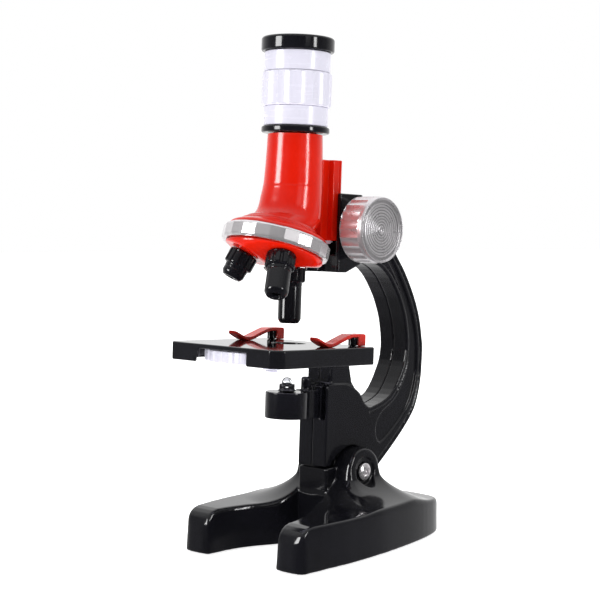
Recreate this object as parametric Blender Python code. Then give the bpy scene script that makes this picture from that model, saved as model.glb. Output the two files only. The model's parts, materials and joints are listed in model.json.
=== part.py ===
"""Toy compound microscope, every separate piece as its own closed body, in metres, +Z up.

The pieces are drawn in millimetres in the frame of the upright instrument: X to the right,
-Y to the front, Z up, the optical axis at x = y = 0, the floor at z = 0. Empties then carry
them: the arm's empty sits on the tilt hinge, leaning back a little, and every other moving
group has an empty on its own joint axis.
"""
import math

import bmesh
import bpy

for old in list(bpy.data.objects):
    bpy.data.objects.remove(old, do_unlink=True)

MM = 0.001
GAP = 0.3                      # clearance between touching pieces
FINE = 28                      # sides of the largest round pieces
ROUND = 20
SMALL = 14
TINY = 8
SHIFT_Y = -23.89               # puts the middle of the whole object on the origin

# Base
BASE_TOP = 19.0                # deck height over the prongs
COVER_HEIGHT = 1.6             # bottom cover plate
SHELL_BOTTOM = COVER_HEIGHT + GAP
SHELL_FOOT = 0.3               # lower edge of the base's side walls
WALL = 2.0
PIVOT = (35.5, 31.7)           # tilt hinge, y and z, in the floor frame
LEAN = 3.22                    # rest lean of the arm, degrees
EAR_OUT = 15.5                 # outer face of the yoke ears
EAR_IN = 5.5                   # inner face of the bosses around the hinge
SLOT = 8.5                     # half-width of the yoke slot

# Arm
ARM_HALF = 8.0                 # half-width of the C-arm
TONGUE_HALF = 5.2
ARM_WALL = 1.8
PANEL_DEPTH = 0.6              # crescent recess in the arm's sides
SEAM = 0.15
TILT_AXIS = (36.0, 32.33)      # the same hinge in the arm's own frame

# Stage
STAGE_HALF = 32.5
STAGE_FRONT = -41.7
STAGE_REAR = 20.2
STAGE_TOP = 89.14
STAGE_THICK = 7.54
STAGE_HOLE = 7.0
DISC_CENTRE = (2.0, -12.3)
DISC_RADIUS = 28.5
DISC_RIM = (81.8, 86.84)       # bottom and top of its rim
CLIP_X = 23.8
CLIP_POST_Y = 14.6
CLIP_HALF = 2.9                # half-width of the spring strip
NOTCH = (-14.8, 15.0)          # left and right end of the opening in the stage's front

# Lamp
LAMP_RADIUS = 9.3
LAMP_AXIS_Z = 62.6

# Focus drive
SHAFT = (26.5, 139.2)
SHAFT_RADIUS = 1.9
KNOB_RADIUS = 14.5
KNOB_IN = 15.8
KNOB_OUT = 28.6
MODULE = 0.6
PINION_TEETH = 12
PITCH_RADIUS = MODULE * PINION_TEETH / 2

# Tube, turret, eyepiece
TURRET_APEX = 165.6            # where the turret axis crosses the optical axis
TURRET_LEAN = 16.5
RING_FACETS = 23
EYE_BOTTOM = 179.3
EYE_TOP = 220.0


# ---------------------------------------------------------------- materials
def make_material(name, colour, roughness, metallic=0.0, alpha=1.0, transmission=0.0):
    material = bpy.data.materials.new(name)
    material.use_nodes = True
    shader = material.node_tree.nodes["Principled BSDF"]
    shader.inputs["Base Color"].default_value = (*colour, 1.0)
    shader.inputs["Roughness"].default_value = roughness
    shader.inputs["Metallic"].default_value = metallic
    shader.inputs["Alpha"].default_value = alpha
    shader.inputs["Transmission Weight"].default_value = transmission
    material.diffuse_color = (*colour, alpha)
    return material


BLACK = make_material("gloss_black", (0.012, 0.012, 0.015), 0.18)
MATT_BLACK = make_material("matt_black", (0.02, 0.02, 0.022), 0.5)
RED = make_material("gloss_red", (0.70, 0.03, 0.012), 0.2)
CLIP_RED = make_material("clip_red", (0.75, 0.06, 0.04), 0.25)
WHITE = make_material("white", (0.83, 0.82, 0.90), 0.3)
SILVER = make_material("silver", (0.72, 0.70, 0.70), 0.28, metallic=1.0)
STEEL = make_material("steel", (0.60, 0.60, 0.60), 0.3, metallic=1.0)
GLASS = make_material("glass", (0.95, 0.97, 1.0), 0.05, alpha=0.35, transmission=1.0)
MIRROR = make_material("mirror", (0.9, 0.9, 0.9), 0.05, metallic=1.0)
BATTERY = make_material("battery_sleeve", (0.25, 0.26, 0.30), 0.4)


# ---------------------------------------------------------------- frames
class Frame:
    """An empty, with the drawing coordinates (mm) of its origin."""

    def __init__(self, name, parent, origin, turn_x=0.0, drawn_from=None):
        self.empty = bpy.data.objects.new(name, None)
        bpy.context.collection.objects.link(self.empty)
        self.origin = origin if drawn_from is None else drawn_from
        place = origin
        if parent:
            self.empty.parent = parent.empty
            place = [a - b for a, b in zip(origin, parent.origin)]
        self.empty.location = [v * MM for v in place]
        self.empty.rotation_euler = (math.radians(turn_x), 0.0, 0.0)


FLOOR = Frame("floor_frame", None, (0, SHIFT_Y, 0), drawn_from=(0, 0, 0))
ARM = Frame("arm_tilt_axis", FLOOR, (0, *PIVOT), -LEAN, (0, *TILT_AXIS))
CARRIAGE = Frame("focus_travel_axis", ARM, (0, 0, 150))
DRIVE = Frame("focus_knob_axis", ARM, (0, *SHAFT))
ZOOM = Frame("zoom_axis", CARRIAGE, (0, 0, 198))
TURRET = Frame("turret_axis", CARRIAGE, (0, 0, TURRET_APEX), -TURRET_LEAN, (0, 0, 0))
DISC = Frame("disc_axis", ARM, (*DISC_CENTRE, 84))
LAMP = Frame("lamp_flip_axis", ARM, (0, 0, LAMP_AXIS_Z))
CLIP_L = Frame("clip_left_axis", ARM, (-CLIP_X, CLIP_POST_Y, 90))
CLIP_R = Frame("clip_right_axis", ARM, (CLIP_X, CLIP_POST_Y, 90))


# ---------------------------------------------------------------- drawing helpers (mm)
def solid(bm):
    """A loose object, still in millimetres, from a finished bmesh."""
    bmesh.ops.recalc_face_normals(bm, faces=bm.faces)
    mesh = bpy.data.meshes.new("draft")
    bm.to_mesh(mesh)
    bm.free()
    draft = bpy.data.objects.new("draft", mesh)
    bpy.context.collection.objects.link(draft)
    return draft


def loft(sections, closed=False):
    """Skin between rings of points; closed joins the last ring to the first."""
    bm = bmesh.new()
    rings = [[bm.verts.new(p) for p in ring] for ring in sections]
    count = len(rings[0])
    pairs = list(zip(rings, rings[1:]))
    if closed:
        pairs.append((rings[-1], rings[0]))
    for low, high in pairs:
        for i in range(count):
            j = (i + 1) % count
            bm.faces.new((low[i], low[j], high[j], high[i]))
    if not closed:
        bm.faces.new(rings[0][::-1])
        bm.faces.new(rings[-1])
    return solid(bm)


def along(axis, point, depth):
    """A 2-D outline point pushed to a depth along X (y,z), Y (x,z) or Z (x,y)."""
    if axis == "X":
        return (depth, point[0], point[1])
    if axis == "Y":
        return (point[0], depth, point[1])
    return (point[0], point[1], depth)


def prism(outline, axis, low, high):
    return loft([[along(axis, p, d) for p in outline] for d in (low, high)])


def rectangle(u0, u1, v0, v1):
    return [(u0, v0), (u1, v0), (u1, v1), (u0, v1)]


def box(x0, x1, y0, y1, z0, z1):
    return prism(rectangle(x0, x1, y0, y1), "Z", z0, z1)


def circle(radius, count, centre=(0, 0), start=0.0):
    step = 2 * math.pi / count
    return [(centre[0] + radius * math.cos(start + i * step),
             centre[1] + radius * math.sin(start + i * step)) for i in range(count)]


def toothed(tip, root, teeth, centre=(0, 0), width=0.5):
    """Outline with flat-topped teeth; width is the share of the pitch a tip takes."""
    points = []
    pitch = 2 * math.pi / teeth
    for i in range(teeth):
        for radius, part in ((root, -0.42), (tip, -width / 2), (tip, width / 2), (root, 0.42)):
            angle = (i + part) * pitch
            points.append((centre[0] + radius * math.cos(angle),
                           centre[1] + radius * math.sin(angle)))
    return points


def rod(axis, centre, radius, low, high, count=SMALL):
    return prism(circle(radius, count, centre), axis, low, high)


def turned(profile, axis="Z", centre=(0, 0), count=ROUND, waves=0, depth=0.0):
    """Solid of revolution from (radius, height) rings, top or bottom first.

    With waves, the radius dips by depth between that many crests on every ring whose
    profile entry ends in True.
    """
    sections = []
    for entry in profile:
        radius, height = entry[0], entry[1]
        ring = []
        for i in range(count):
            angle = 2 * math.pi * i / count
            local = radius
            if len(entry) > 2 and waves:
                local -= depth * (0.5 - 0.5 * math.cos(angle * waves))
            point = (centre[0] + local * math.cos(angle), centre[1] + local * math.sin(angle))
            ring.append(along(axis, point, height))
        sections.append(ring)
    return loft(sections)


def combine(draft, others, operation):
    """Boolean in place; the other drafts are used up."""
    for other in others:
        modifier = draft.modifiers.new("combine", "BOOLEAN")
        modifier.operation = operation
        modifier.solver = "EXACT"
        modifier.object = other
        graph = bpy.context.evaluated_depsgraph_get()
        result = bpy.data.meshes.new_from_object(draft.evaluated_get(graph))
        draft.modifiers.clear()
        draft.data = result
        bpy.data.objects.remove(other, do_unlink=True)
    return draft


def cut(draft, *others):
    return combine(draft, others, "DIFFERENCE")


def join(draft, *others):
    return combine(draft, others, "UNION")


def finish(draft, name, material, frame, smooth=True):
    """Name the draft, bring it to metres in its frame and give it its material."""
    mesh = draft.data
    ox, oy, oz = frame.origin
    for vertex in mesh.vertices:
        x, y, z = vertex.co
        vertex.co = ((x - ox) * MM, (y - oy) * MM, (z - oz) * MM)
    mesh.materials.clear()
    mesh.materials.append(material)
    mesh.shade_smooth() if smooth else mesh.shade_flat()
    if smooth:
        mesh.set_sharp_from_angle(angle=math.radians(32))
    mesh.name = name
    draft.name = name
    draft.parent = frame.empty
    return draft


def inset(outline, distance):
    """Move every edge of a closed outline inwards (outline runs anticlockwise)."""
    moved = []
    count = len(outline)
    for i in range(count):
        ax, ay = outline[i - 1]
        bx, by = outline[i]
        cx, cy = outline[(i + 1) % count]
        e0 = math.hypot(bx - ax, by - ay)
        e1 = math.hypot(cx - bx, cy - by)
        n0 = (-(by - ay) / e0, (bx - ax) / e0)
        n1 = (-(cy - by) / e1, (cx - bx) / e1)
        nx, ny = n0[0] + n1[0], n0[1] + n1[1]
        scale = distance / max(0.35, (nx * nx + ny * ny) / 2)
        moved.append((bx + nx * scale, by + ny * scale))
    return moved


# ---------------------------------------------------------------- base
BASE_SIDE = [(8.2, 17.8), (8.6, 13), (9.6, 8), (11.6, 3), (14.6, -3), (17.2, -10),
             (18.6, -18), (19.4, -26.2), (21.5, -27.8), (25, -28.6), (29, -28.6),
             (32.5, -27.6), (34.6, -25.2), (35.3, -20), (36.2, -10), (37, 0), (37, 10),
             (36.4, 22), (35.3, 34), (33.6, 47), (31.2, 61), (28.4, 70.5), (24.5, 77),
             (18.5, 81), (10, 82.6)]
DECK = [(-40, 10.6), (-28.6, 10.6), (-27.6, 13.2), (-26.2, 15.6), (-24.6, 17.4),
        (-22.6, 18.5), (-20.5, BASE_TOP), (20, BASE_TOP), (50, 17.6), (90, 13.6)]


def base_outline():
    left = [(-x, y) for x, y in reversed(BASE_SIDE)]
    return BASE_SIDE + left


def deck_height(y):
    for (y0, z0), (y1, z1) in zip(DECK, DECK[1:]):
        if y0 <= y <= y1:
            return z0 + (z1 - z0) * (y - y0) / (y1 - y0)
    return BASE_TOP


def horseshoe(shrink, bottom, lower):
    """The base's block: plan outline, rounded top edge, deck that slopes and noses over."""
    outline = inset(base_outline(), shrink) if shrink else base_outline()
    steps = ((0.0, 2.2), (0.7, 0.7), (2.4, 0.0))
    sections = [[(x, y, bottom) for x, y in outline]]
    for inwards, down in steps:
        sections.append([(x, y, BASE_TOP - down) for x, y in inset(outline, inwards + 0.001)])
    draft = loft(sections)
    bm = bmesh.new()
    bm.from_mesh(draft.data)
    bpy.data.objects.remove(draft, do_unlink=True)
    for y, _ in DECK[2:-1]:
        geometry = list(bm.verts) + list(bm.edges) + list(bm.faces)
        bmesh.ops.bisect_plane(bm, geom=geometry, plane_co=(0, y, 0), plane_no=(0, 1, 0))
    for vertex in bm.verts:
        share = (vertex.co.z - bottom) / (BASE_TOP - bottom)
        vertex.co.z = bottom + share * (deck_height(vertex.co.y) - lower - bottom)
    return solid(bm)


def oval(half_x, y0, y1, z, count=28, power=3.2):
    """Rounded-rectangle ring at height z."""
    ring = []
    for i in range(count):
        c = math.cos(2 * math.pi * i / count)
        s = math.sin(2 * math.pi * i / count)
        x = half_x * math.copysign(abs(c) ** (2 / power), c)
        y = (y1 - y0) / 2 * math.copysign(abs(s) ** (2 / power), s)
        ring.append((x, (y0 + y1) / 2 + y, z))
    return ring


BOSS_SPOTS = ((-27, -17), (27, -17), (-25.5, 60), (25.5, 60))


def make_base_shell():
    flare = loft([oval(*row) for row in (
        (35.0, 18.6, 70, 13.0), (33.6, 19.4, 66, 18.6), (29.6, 20.9, 61.6, 20.8),
        (24.6, 22.4, 57.6, 23.2), (20.4, 23.7, 53.9, 25.6), (17.2, 24.8, 50.2, 28.8),
        (16.0, 25.2, 47.6, 31.6))])
    combine(flare, [prism(inset(base_outline(), 0.9), "Z", 5, 60)], "INTERSECT")
    ears = rod("X", PIVOT, 10.4, -EAR_OUT, EAR_OUT, FINE)
    block = box(-8.2, 8.2, 17.8, 25.4, 12, 34.4)
    shell = join(horseshoe(0, SHELL_FOOT, 0.0), flare, ears, block)
    slot = box(-SLOT, SLOT, 25.4, 100, 17.2, 60)
    cheeks = [rod("X", PIVOT, 10.3, side * EAR_IN, side * (SLOT + 1), FINE) for side in (-1, 1)]
    cut(shell, slot)
    join(shell, *cheeks)
    cavity = horseshoe(WALL, SHELL_FOOT - 1, 2.4)
    cut(cavity, *[rod("Z", spot, 3.2, SHELL_BOTTOM, 30) for spot in BOSS_SPOTS])
    cut(shell, cavity)
    cut(shell, *[rod("Z", spot, 1.15, SHELL_BOTTOM - 1, 10, TINY) for spot in BOSS_SPOTS])
    cut(shell, rod("X", PIVOT, 2.2, -20, 20, SMALL), rod("X", PIVOT, 4.3, 14.4, 20, ROUND))
    nut_pocket = prism(circle(3.9, 6, PIVOT), "X", -20, -13.0)
    cut(shell, nut_pocket)
    finish(shell, "base_shell", BLACK, FLOOR)


DOOR = (-25.5, 25.5, 27.0, 53.0)


def make_base_cover():
    plate = prism(inset(base_outline(), WALL + GAP), "Z", 0.0, COVER_HEIGHT)
    x0, x1, y0, y1 = DOOR
    cut(plate, box(x0 - GAP, x1 + GAP, y0 - GAP, y1 + GAP, -1, 3))
    cut(plate, *[rod("Z", spot, 1.3, -1, 3, TINY) for spot in BOSS_SPOTS])
    cut(plate, *[rod("Z", spot, 2.7, -1, 1.05, SMALL) for spot in BOSS_SPOTS])
    finish(plate, "base_cover", MATT_BLACK, FLOOR, smooth=False)
    door = box(x0, x1, y0, y1, 0.0, COVER_HEIGHT)
    lip = box(-8, 8, y1 - 2, y1 + 3, COVER_HEIGHT + GAP, COVER_HEIGHT + 1.4)
    neck = box(-8, 8, y1 - 2, y1 - 0.5, COVER_HEIGHT - 0.5, COVER_HEIGHT + 1.4)
    join(door, lip, neck)
    cut(door, rod("Z", (0, y0 + 3.5), 1.3, -1, 3, TINY), rod("Z", (0, y0 + 3.5), 2.7, -1, 1.05, SMALL))
    finish(door, "battery_door", MATT_BLACK, FLOOR, smooth=False)


def small_screw(x, y, z_head, length, head=2.4, shank=1.0):
    """Slotted pan screw pointing up."""
    screw = turned([(head - 0.5, z_head), (head, z_head + 0.25), (head, z_head + 0.5),
                    (shank, z_head + 0.5), (shank, z_head + length - 1),
                    (0.3, z_head + length)], centre=(x, y), count=TINY)
    cut(screw, box(x - 3, x + 3, y - 0.35, y + 0.35, z_head - 1, z_head + 0.25))
    return screw


def make_base_screws():
    for number, (x, y) in enumerate(BOSS_SPOTS, 1):
        finish(small_screw(x, y, 0.25, 8), f"cover_screw_{number}", STEEL, FLOOR)
    finish(small_screw(0, DOOR[2] + 3.5, 0.25, 3.4), "door_screw", STEEL, FLOOR)


def make_batteries():
    """Two slim cells side by side across the base, with their contacts."""
    for name, y, way in (("battery_front", 35.2, 1), ("battery_rear", 46.8, -1)):
        cell = turned([(4.6, -21.4 * way), (5.2, -21.0 * way), (5.2, 20.4 * way),
                       (4.6, 20.8 * way), (1.9, 20.85 * way), (1.8, 21.9 * way)],
                      "X", (y, 8.2), SMALL)
        finish(cell, name, BATTERY, FLOOR)
    bridge = box(-23.0, -22.3, 31, 51, 4.5, 12)
    finish(bridge, "contact_bridge", STEEL, FLOOR, smooth=False)
    for name, y in (("contact_plus", 35.2), ("contact_minus", 46.8)):
        plate = box(22.3, 23.0, y - 4, y + 4, 4.5, 12)
        finish(plate, name, STEEL, FLOOR, smooth=False)


def make_pivot():
    y, z = PIVOT
    screw = turned([(2.6, 16.9), (3.3, 16.5), (3.8, 15.7), (3.8, 14.9), (2.0, 14.9),
                    (2.0, -15.0)], "X", PIVOT, SMALL)
    cut(screw, box(16.0, 18, y - 2.1, y + 2.1, z - 0.45, z + 0.45),
        box(16.0, 18, y - 0.45, y + 0.45, z - 2.1, z + 2.1))
    finish(screw, "pivot_screw", SILVER, FLOOR)
    nut = prism(circle(3.6, 6, PIVOT), "X", -15.6, -13.3)
    cut(nut, rod("X", PIVOT, 2.08, -17, -10, SMALL))
    finish(nut, "pivot_nut", STEEL, FLOOR, smooth=False)


# ---------------------------------------------------------------- arm
ARCH = [(22.0, 35.0), (22.4, 36.2), (24.1, 38.2), (28.7, 41.2), (31.8, 42.6), (35.0, 43.1),
        (38.4, 42.8), (41.7, 41.5), (44.6, 39.2), (46.7, 36.0), (47.3, 32.4)]
ARM_OUTER = [(52.3, 31.0), (58.0, 35.6), (65.6, 42.0), (72.6, 48.5), (76.8, 53.0),
             (80.2, 57.6), (82.5, 63.5), (84.0, 69.9), (84.6, 76), (84.7, 82.4),
             (84.6, 87), (83.8, 90.8), (82.4, 97), (80.1, 103.4), (76.8, 110),
             (72.6, 116.7), (67.9, 123), (62.6, 128.9), (56.8, 136.6), (50.0, 143.8),
             (43.0, 149.6), (35.3, 154.2)]
ARM_INNER = [(35.3, 125.0), (40.5, 125.6), (45.5, 125.0), (50.0, 123.6), (54.0, 121.6),
             (58.5, 118), (62.3, 113.5), (65.6, 109), (68.1, 104.3), (70.2, 99.5),
             (71.5, 94.3), (72.3, 90), (72.5, 85), (71.6, 79.6), (69.5, 75), (66.3, 69.4),
             (62, 64.5), (56, 61.6), (51, 60.2), (47.9, 59.4), (45, 60.7), (42.7, 62.8),
             (40.4, 66.1), (36.1, 68.8), (32.6, 70.3), (29.1, 70.9), (19.0, 71.1)]
PANEL = [(49.5, 131.5), (53.5, 128.5), (58, 124.5), (63.5, 117.5), (68.5, 109), (72.5, 99.5),
         (74.6, 90), (74.7, 82), (73, 74), (69.5, 67.5), (64.5, 62), (59, 58.8), (55, 56.0),
         (52.3, 51.6), (52.4, 46.6), (55.6, 43.0), (62.2, 46.8), (69.0, 52.4), (73.4, 57),
         (76.8, 62), (79.2, 68.4), (80.4, 75.6), (80.4, 83), (79.4, 91.5), (76, 101.5),
         (70.4, 112), (63.4, 122), (56.5, 130.4), (52.8, 134.2)]
ARM_SCREWS = ((27.0, 55.0), (53.5, 54.5), (77.0, 84.0), (62.0, 121.5))


def arm_profile():
    return [(17.5, 35.0)] + ARCH + ARM_OUTER + ARM_INNER + [(17.5, 69.8)]


def make_arm_half(name, side):
    """One moulded half: walled shell, hinge tongue, screw bosses, stage neck."""
    outer = arm_profile()
    bevelled = inset(outer, 0.7)
    half = loft([[(side * d, y, z) for y, z in ring] for d, ring in (
        (SEAM, outer), (ARM_HALF - 0.7, outer), (ARM_HALF, bevelled))])
    neck = prism([(22.0, 66), (41.0, 66), (36.6, 71.5), (34.3, 81.2), (22.0, 81.2)],
                 "X", side * SEAM, side * 6.5)
    head_tongue = prism(rectangle(31.6, 40, 129, 149), "X", side * SEAM, side * 5.9)
    join(half, neck, head_tongue)
    hollow = prism(inset(outer, ARM_WALL), "X", side * -1, side * (ARM_HALF - ARM_WALL))
    cut(half, hollow)
    tongue = prism(circle(9.8, FINE, TILT_AXIS), "X", side * SEAM, side * TONGUE_HALF)
    web = prism([(27.2, 33), (45.4, 33), (45.4, 46), (27.2, 46)], "X", side * SEAM,
                side * TONGUE_HALF)
    bosses = [rod("X", spot, 3.0, side * SEAM, side * (ARM_HALF - 1), SMALL)
              for spot in ARM_SCREWS]
    neck_boss = rod("Z", (0, 28), 3.4, 70, 80, SMALL)
    keep = box(*sorted((side * SEAM, side * 4)), 20, 40, 68, 81)
    combine(neck_boss, [keep], "INTERSECT")
    join(half, tongue, web, neck_boss, *bosses)
    cut(half, rod("X", TILT_AXIS, 2.3, side * -1, side * 9, SMALL))
    if side < 0:
        cut(half, *[rod("X", spot, 1.25, -9, 1, TINY) for spot in ARM_SCREWS])
        cut(half, *[rod("X", spot, 2.5, -9, -6.2, SMALL) for spot in ARM_SCREWS])
    else:
        cut(half, *[rod("X", spot, 1.1, -1, 5.6, TINY) for spot in ARM_SCREWS])
    cut(half, rod("Z", (0, 28), 1.15, 66, 90, TINY))
    cut(half, prism(PANEL, "X", side * (ARM_HALF - PANEL_DEPTH), side * (ARM_HALF + 1)))
    finish(half, name, BLACK, ARM)


def make_arm_screws():
    for number, (y, z) in enumerate(ARM_SCREWS, 1):
        screw = turned([(1.9, -7.7), (2.3, -7.4), (2.3, -6.9), (1.0, -6.5), (1.0, 4.0),
                        (0.3, 5.0)], "X", (y, z), TINY)
        cut(screw, box(-9, -7.4, y - 3, y + 3, z - 0.35, z + 0.35))
        finish(screw, f"arm_screw_{number}", STEEL, ARM)


def make_focus_housing():
    """Block at the arm's head: front guide channel, pinion chamber, rear socket."""
    outline = [(19.7, 120.2), (25.4, 120.2), (34.6, 123.9), (34.9, 124.2), (34.9, 154.2),
               (34.4, 154.7), (20.2, 154.7), (19.7, 154.2)]
    block = prism(outline, "X", -10, 10)
    cut(block, box(-8.2, 8.2, 18, 21.0, 110, 160), box(-9.0, 9.0, 20.6, 22.0, 110, 160))
    cut(block, box(-6.0, 6.0, 20, 31.2, 128, 152), box(-3.4, 3.4, 20, 24.2, 110, 160))
    cut(block, box(-6.2, 6.2, 30, 36, 128.7, 149.3))
    cut(block, rod("X", SHAFT, SHAFT_RADIUS + 0.06, -11, 11, ROUND))
    finish(block, "focus_housing", BLACK, ARM, smooth=False)


# ---------------------------------------------------------------- stage
def stage_outline(shrink=0.0):
    half, front, rear, corner, small = STAGE_HALF, STAGE_FRONT, STAGE_REAR, 4.2, 1.5
    outline = [(-half + corner, front), (half - corner, front), (half, front + corner),
               (half, rear - small), (half - small, rear), (-half + small, rear),
               (-half, rear - small), (-half, front + corner)]
    return inset(outline, shrink) if shrink else outline


def make_stage():
    bottom = STAGE_TOP - STAGE_THICK
    rings = ((0.0, bottom), (0.0, STAGE_TOP - 0.7), (0.25, STAGE_TOP - 0.25), (0.8, STAGE_TOP))
    plate = loft([[(x, y, z) for x, y in stage_outline(s)] for s, z in rings])
    cut(plate, prism(stage_outline(1.6), "Z", bottom - 1, STAGE_TOP - 2.0))
    pads = [box(-9, 9, 17.8, 19.6, bottom, STAGE_TOP - 1),
            rod("Z", DISC_CENTRE, 4.0, STAGE_TOP - 3.0, STAGE_TOP - 1)]
    join(plate, *pads)
    cut(plate, box(*NOTCH, STAGE_FRONT - 2, STAGE_FRONT + 3, bottom - 1, 87.2))
    join(plate, box(NOTCH[0] - 0.5, NOTCH[0] + 2.2, STAGE_FRONT + 0.02, STAGE_FRONT + 0.62,
                    bottom + 1.7, 87.5))
    cut(plate, rod("Z", (0, 0), STAGE_HOLE, 80, 95, FINE), rod("Z", DISC_CENTRE, 1.6, 80, 87.5, SMALL))
    bridge = box(-9, 9, 19.0, 36.0, bottom, bottom + 4.0)
    join(plate, bridge)
    cut(plate, rod("Z", (0, 28), 1.35, 75, 92, TINY), rod("Z", (0, 28), 2.6, bottom + 1.6, 92, SMALL))
    for side in (-1, 1):
        cut(plate, rod("Z", (side * CLIP_X, CLIP_POST_Y), 1.3, 80, 95, TINY))
    finish(plate, "stage_plate", BLACK, ARM)


def make_stage_screw():
    bottom = STAGE_TOP - STAGE_THICK
    screw = turned([(2.0, bottom + 3.2), (2.4, bottom + 2.8), (2.4, bottom + 2.2),
                    (1.05, bottom + 1.8), (1.05, bottom - 8), (0.3, bottom - 9)],
                   centre=(0, 28), count=TINY)
    finish(screw, "stage_screw", STEEL, ARM)


def make_disc():
    """Aperture wheel under the stage: knurled rim, five holes of different size."""
    x, y = DISC_CENTRE
    top = STAGE_TOP - 3.3
    inside = DISC_RADIUS - 2.2
    rim = prism(toothed(DISC_RADIUS, DISC_RADIUS - 0.5, 30, DISC_CENTRE), "Z", *DISC_RIM)
    cut(rim, rod("Z", DISC_CENTRE, inside, DISC_RIM[0] - 1, top - 1.4, FINE),
        rod("Z", DISC_CENTRE, inside, top, DISC_RIM[1] + 1, FINE))
    join(rim, rod("Z", DISC_CENTRE, 3.6, top - 7.6, top - 1.0, SMALL))
    reach = math.hypot(x, y)
    start = math.atan2(-y, -x)
    for i, radius in enumerate((5.0, 4.0, 3.0, 2.0, 1.2)):
        angle = start + i * 2 * math.pi / 5
        spot = (x + reach * math.cos(angle), y + reach * math.sin(angle))
        cut(rim, rod("Z", spot, radius, top - 3, top + 2, SMALL))
    cut(rim, rod("Z", DISC_CENTRE, 1.7, top - 12, top + 2, SMALL))
    finish(rim, "aperture_disc", WHITE, DISC)
    rivet = turned([(1.45, top + 1.5), (1.45, top - 7.9), (2.7, top - 7.9), (2.7, top - 8.3),
                    (2.0, top - 8.8)], centre=DISC_CENTRE, count=SMALL)
    finish(rivet, "disc_rivet", WHITE, ARM)


def make_clips():
    """Sprung strips; each ends in a hood, open to the front, that turns on a round post."""
    top, thick, rear, half = 94.4, 1.3, 19.9, CLIP_HALF
    lower = [(rear - 1.2, 89.6), (rear - 1.2, top - thick), (12.2, top - thick), (10.4, 92.8),
             (4.0, 90.8), (0.5, 89.7), (-2.5, 89.45), (-5.4, 89.9), (-10.4, 92.7)]
    upper = [(-11.2, 93.8), (-5.8, 91.3), (-2.5, 90.8), (0.2, 91.0), (3.4, 92.1), (9.6, 94.1),
             (12.0, top), (rear - 0.7, top), (rear, top - 0.7), (rear, 89.6)]
    for name, x, frame in (("clip_left", -CLIP_X, CLIP_L), ("clip_right", CLIP_X, CLIP_R)):
        strip = prism(lower + upper, "X", x - half, x + half)
        cheeks = [box(x + a, x + b, CLIP_POST_Y + 0.8, rear - 1, 89.6, top - 1)
                  for a, b in ((-half + 0.01, -half + 0.65), (half - 0.65, half - 0.01))]
        join(strip, *cheeks)
        cut(strip, rod("Z", (x, CLIP_POST_Y), 1.3, 92, 96, TINY))
        finish(strip, name, CLIP_RED, frame)
        post = rod("Z", (x, CLIP_POST_Y), 1.9, 89.44, 92.8, SMALL)
        pin = rod("Z", (x, CLIP_POST_Y), 1.2, 84.5, 94.2, TINY)
        join(post, pin)
        finish(post, name.replace("clip", "clip_post"), BLACK, ARM)


# ---------------------------------------------------------------- lamp
def make_lamp():
    bracket = box(-4.0, 4.0, 9.9, 17.2, 56.0, 68.6)
    post_top = turned([(2.15, 67.5), (2.15, 73.4), (1.7, 74.0), (0.8, 74.3)],
                      centre=(0, 12.2), count=SMALL)
    join(bracket, post_top)
    cut(bracket, rod("Y", (0, LAMP_AXIS_Z), 1.6, 9, 14.6, SMALL))
    finish(bracket, "lamp_bracket", BLACK, ARM)

    cup = turned([(8.9, 56.9), (LAMP_RADIUS, 57.3), (LAMP_RADIUS, 67.9), (8.9, 68.3)], count=FINE)
    cut(cup, rod("Z", (0, 0), 8.0, 56, 58.6, ROUND), rod("Z", (0, 0), 7.8, 60.2, 66.6, ROUND))
    cut(cup, rod("Z", (0, 0), 3.3, 61, 70, SMALL), rod("Y", (0, LAMP_AXIS_Z), 1.6, 5, 11, SMALL))
    finish(cup, "lamp_cup", BLACK, LAMP)

    collar = prism(toothed(4.0, 3.4, 8, width=0.5), "Z", 70.0, 71.6)
    join(collar, rod("Z", (0, 0), 4.0, 68.6, 70.3, ROUND), rod("Z", (0, 0), 3.0, 63.0, 69.0, SMALL))
    cut(collar, rod("Z", (0, 0), 2.6, 60, 75, SMALL))
    finish(collar, "lamp_collar", MATT_BLACK, LAMP, smooth=False)

    bulb = turned([(1.0, 63.5), (2.3, 63.6), (2.3, 72.2), (2.15, 73.0), (1.7, 73.8),
                   (1.0, 74.3), (0.3, 74.5)], count=SMALL)
    finish(bulb, "bulb", GLASS, LAMP)
    finish(rod("Z", (0, 0), 7.7, 57.1, 58.3, ROUND), "mirror", MIRROR, LAMP)
    axle = rod("Y", (0, LAMP_AXIS_Z), 1.5, 5.2, 14.2, SMALL)
    finish(axle, "lamp_axle", STEEL, LAMP)


# ---------------------------------------------------------------- focus drive
def make_drive():
    finish(rod("X", SHAFT, SHAFT_RADIUS, -24.5, 24.5, ROUND), "focus_shaft", STEEL, DRIVE)
    pinion = prism(pinion_outline(), "X", -3.0, 3.0)
    cut(pinion, rod("X", SHAFT, SHAFT_RADIUS + 0.05, -4, 4, ROUND))
    finish(pinion, "pinion", WHITE, DRIVE, smooth=False)
    for name, side in (("knob_left", -1), ("knob_right", 1)):
        knob = turned([(13.6, side * KNOB_IN), (KNOB_RADIUS, side * (KNOB_IN + 0.6), True),
                       (KNOB_RADIUS, side * (KNOB_OUT - 2.7), True),
                       (14.3, side * (KNOB_OUT - 2.4)), (14.3, side * (KNOB_OUT - 0.9)),
                       (13.9, side * KNOB_OUT), (13.5, side * KNOB_OUT),
                       (13.1, side * (KNOB_OUT - 0.7)), (1.6, side * (KNOB_OUT - 0.7)),
                       (0.6, side * (KNOB_OUT - 1.1))],
                      "X", SHAFT, 48, 24, 0.55)
        hub = rod("X", SHAFT, 4.6, side * 10.4, side * (KNOB_IN + 1), ROUND)
        join(knob, hub)
        cut(knob, rod("X", SHAFT, SHAFT_RADIUS + 0.05, side * 9, side * 24.9, ROUND))
        finish(knob, name, SILVER, DRIVE)


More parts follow.
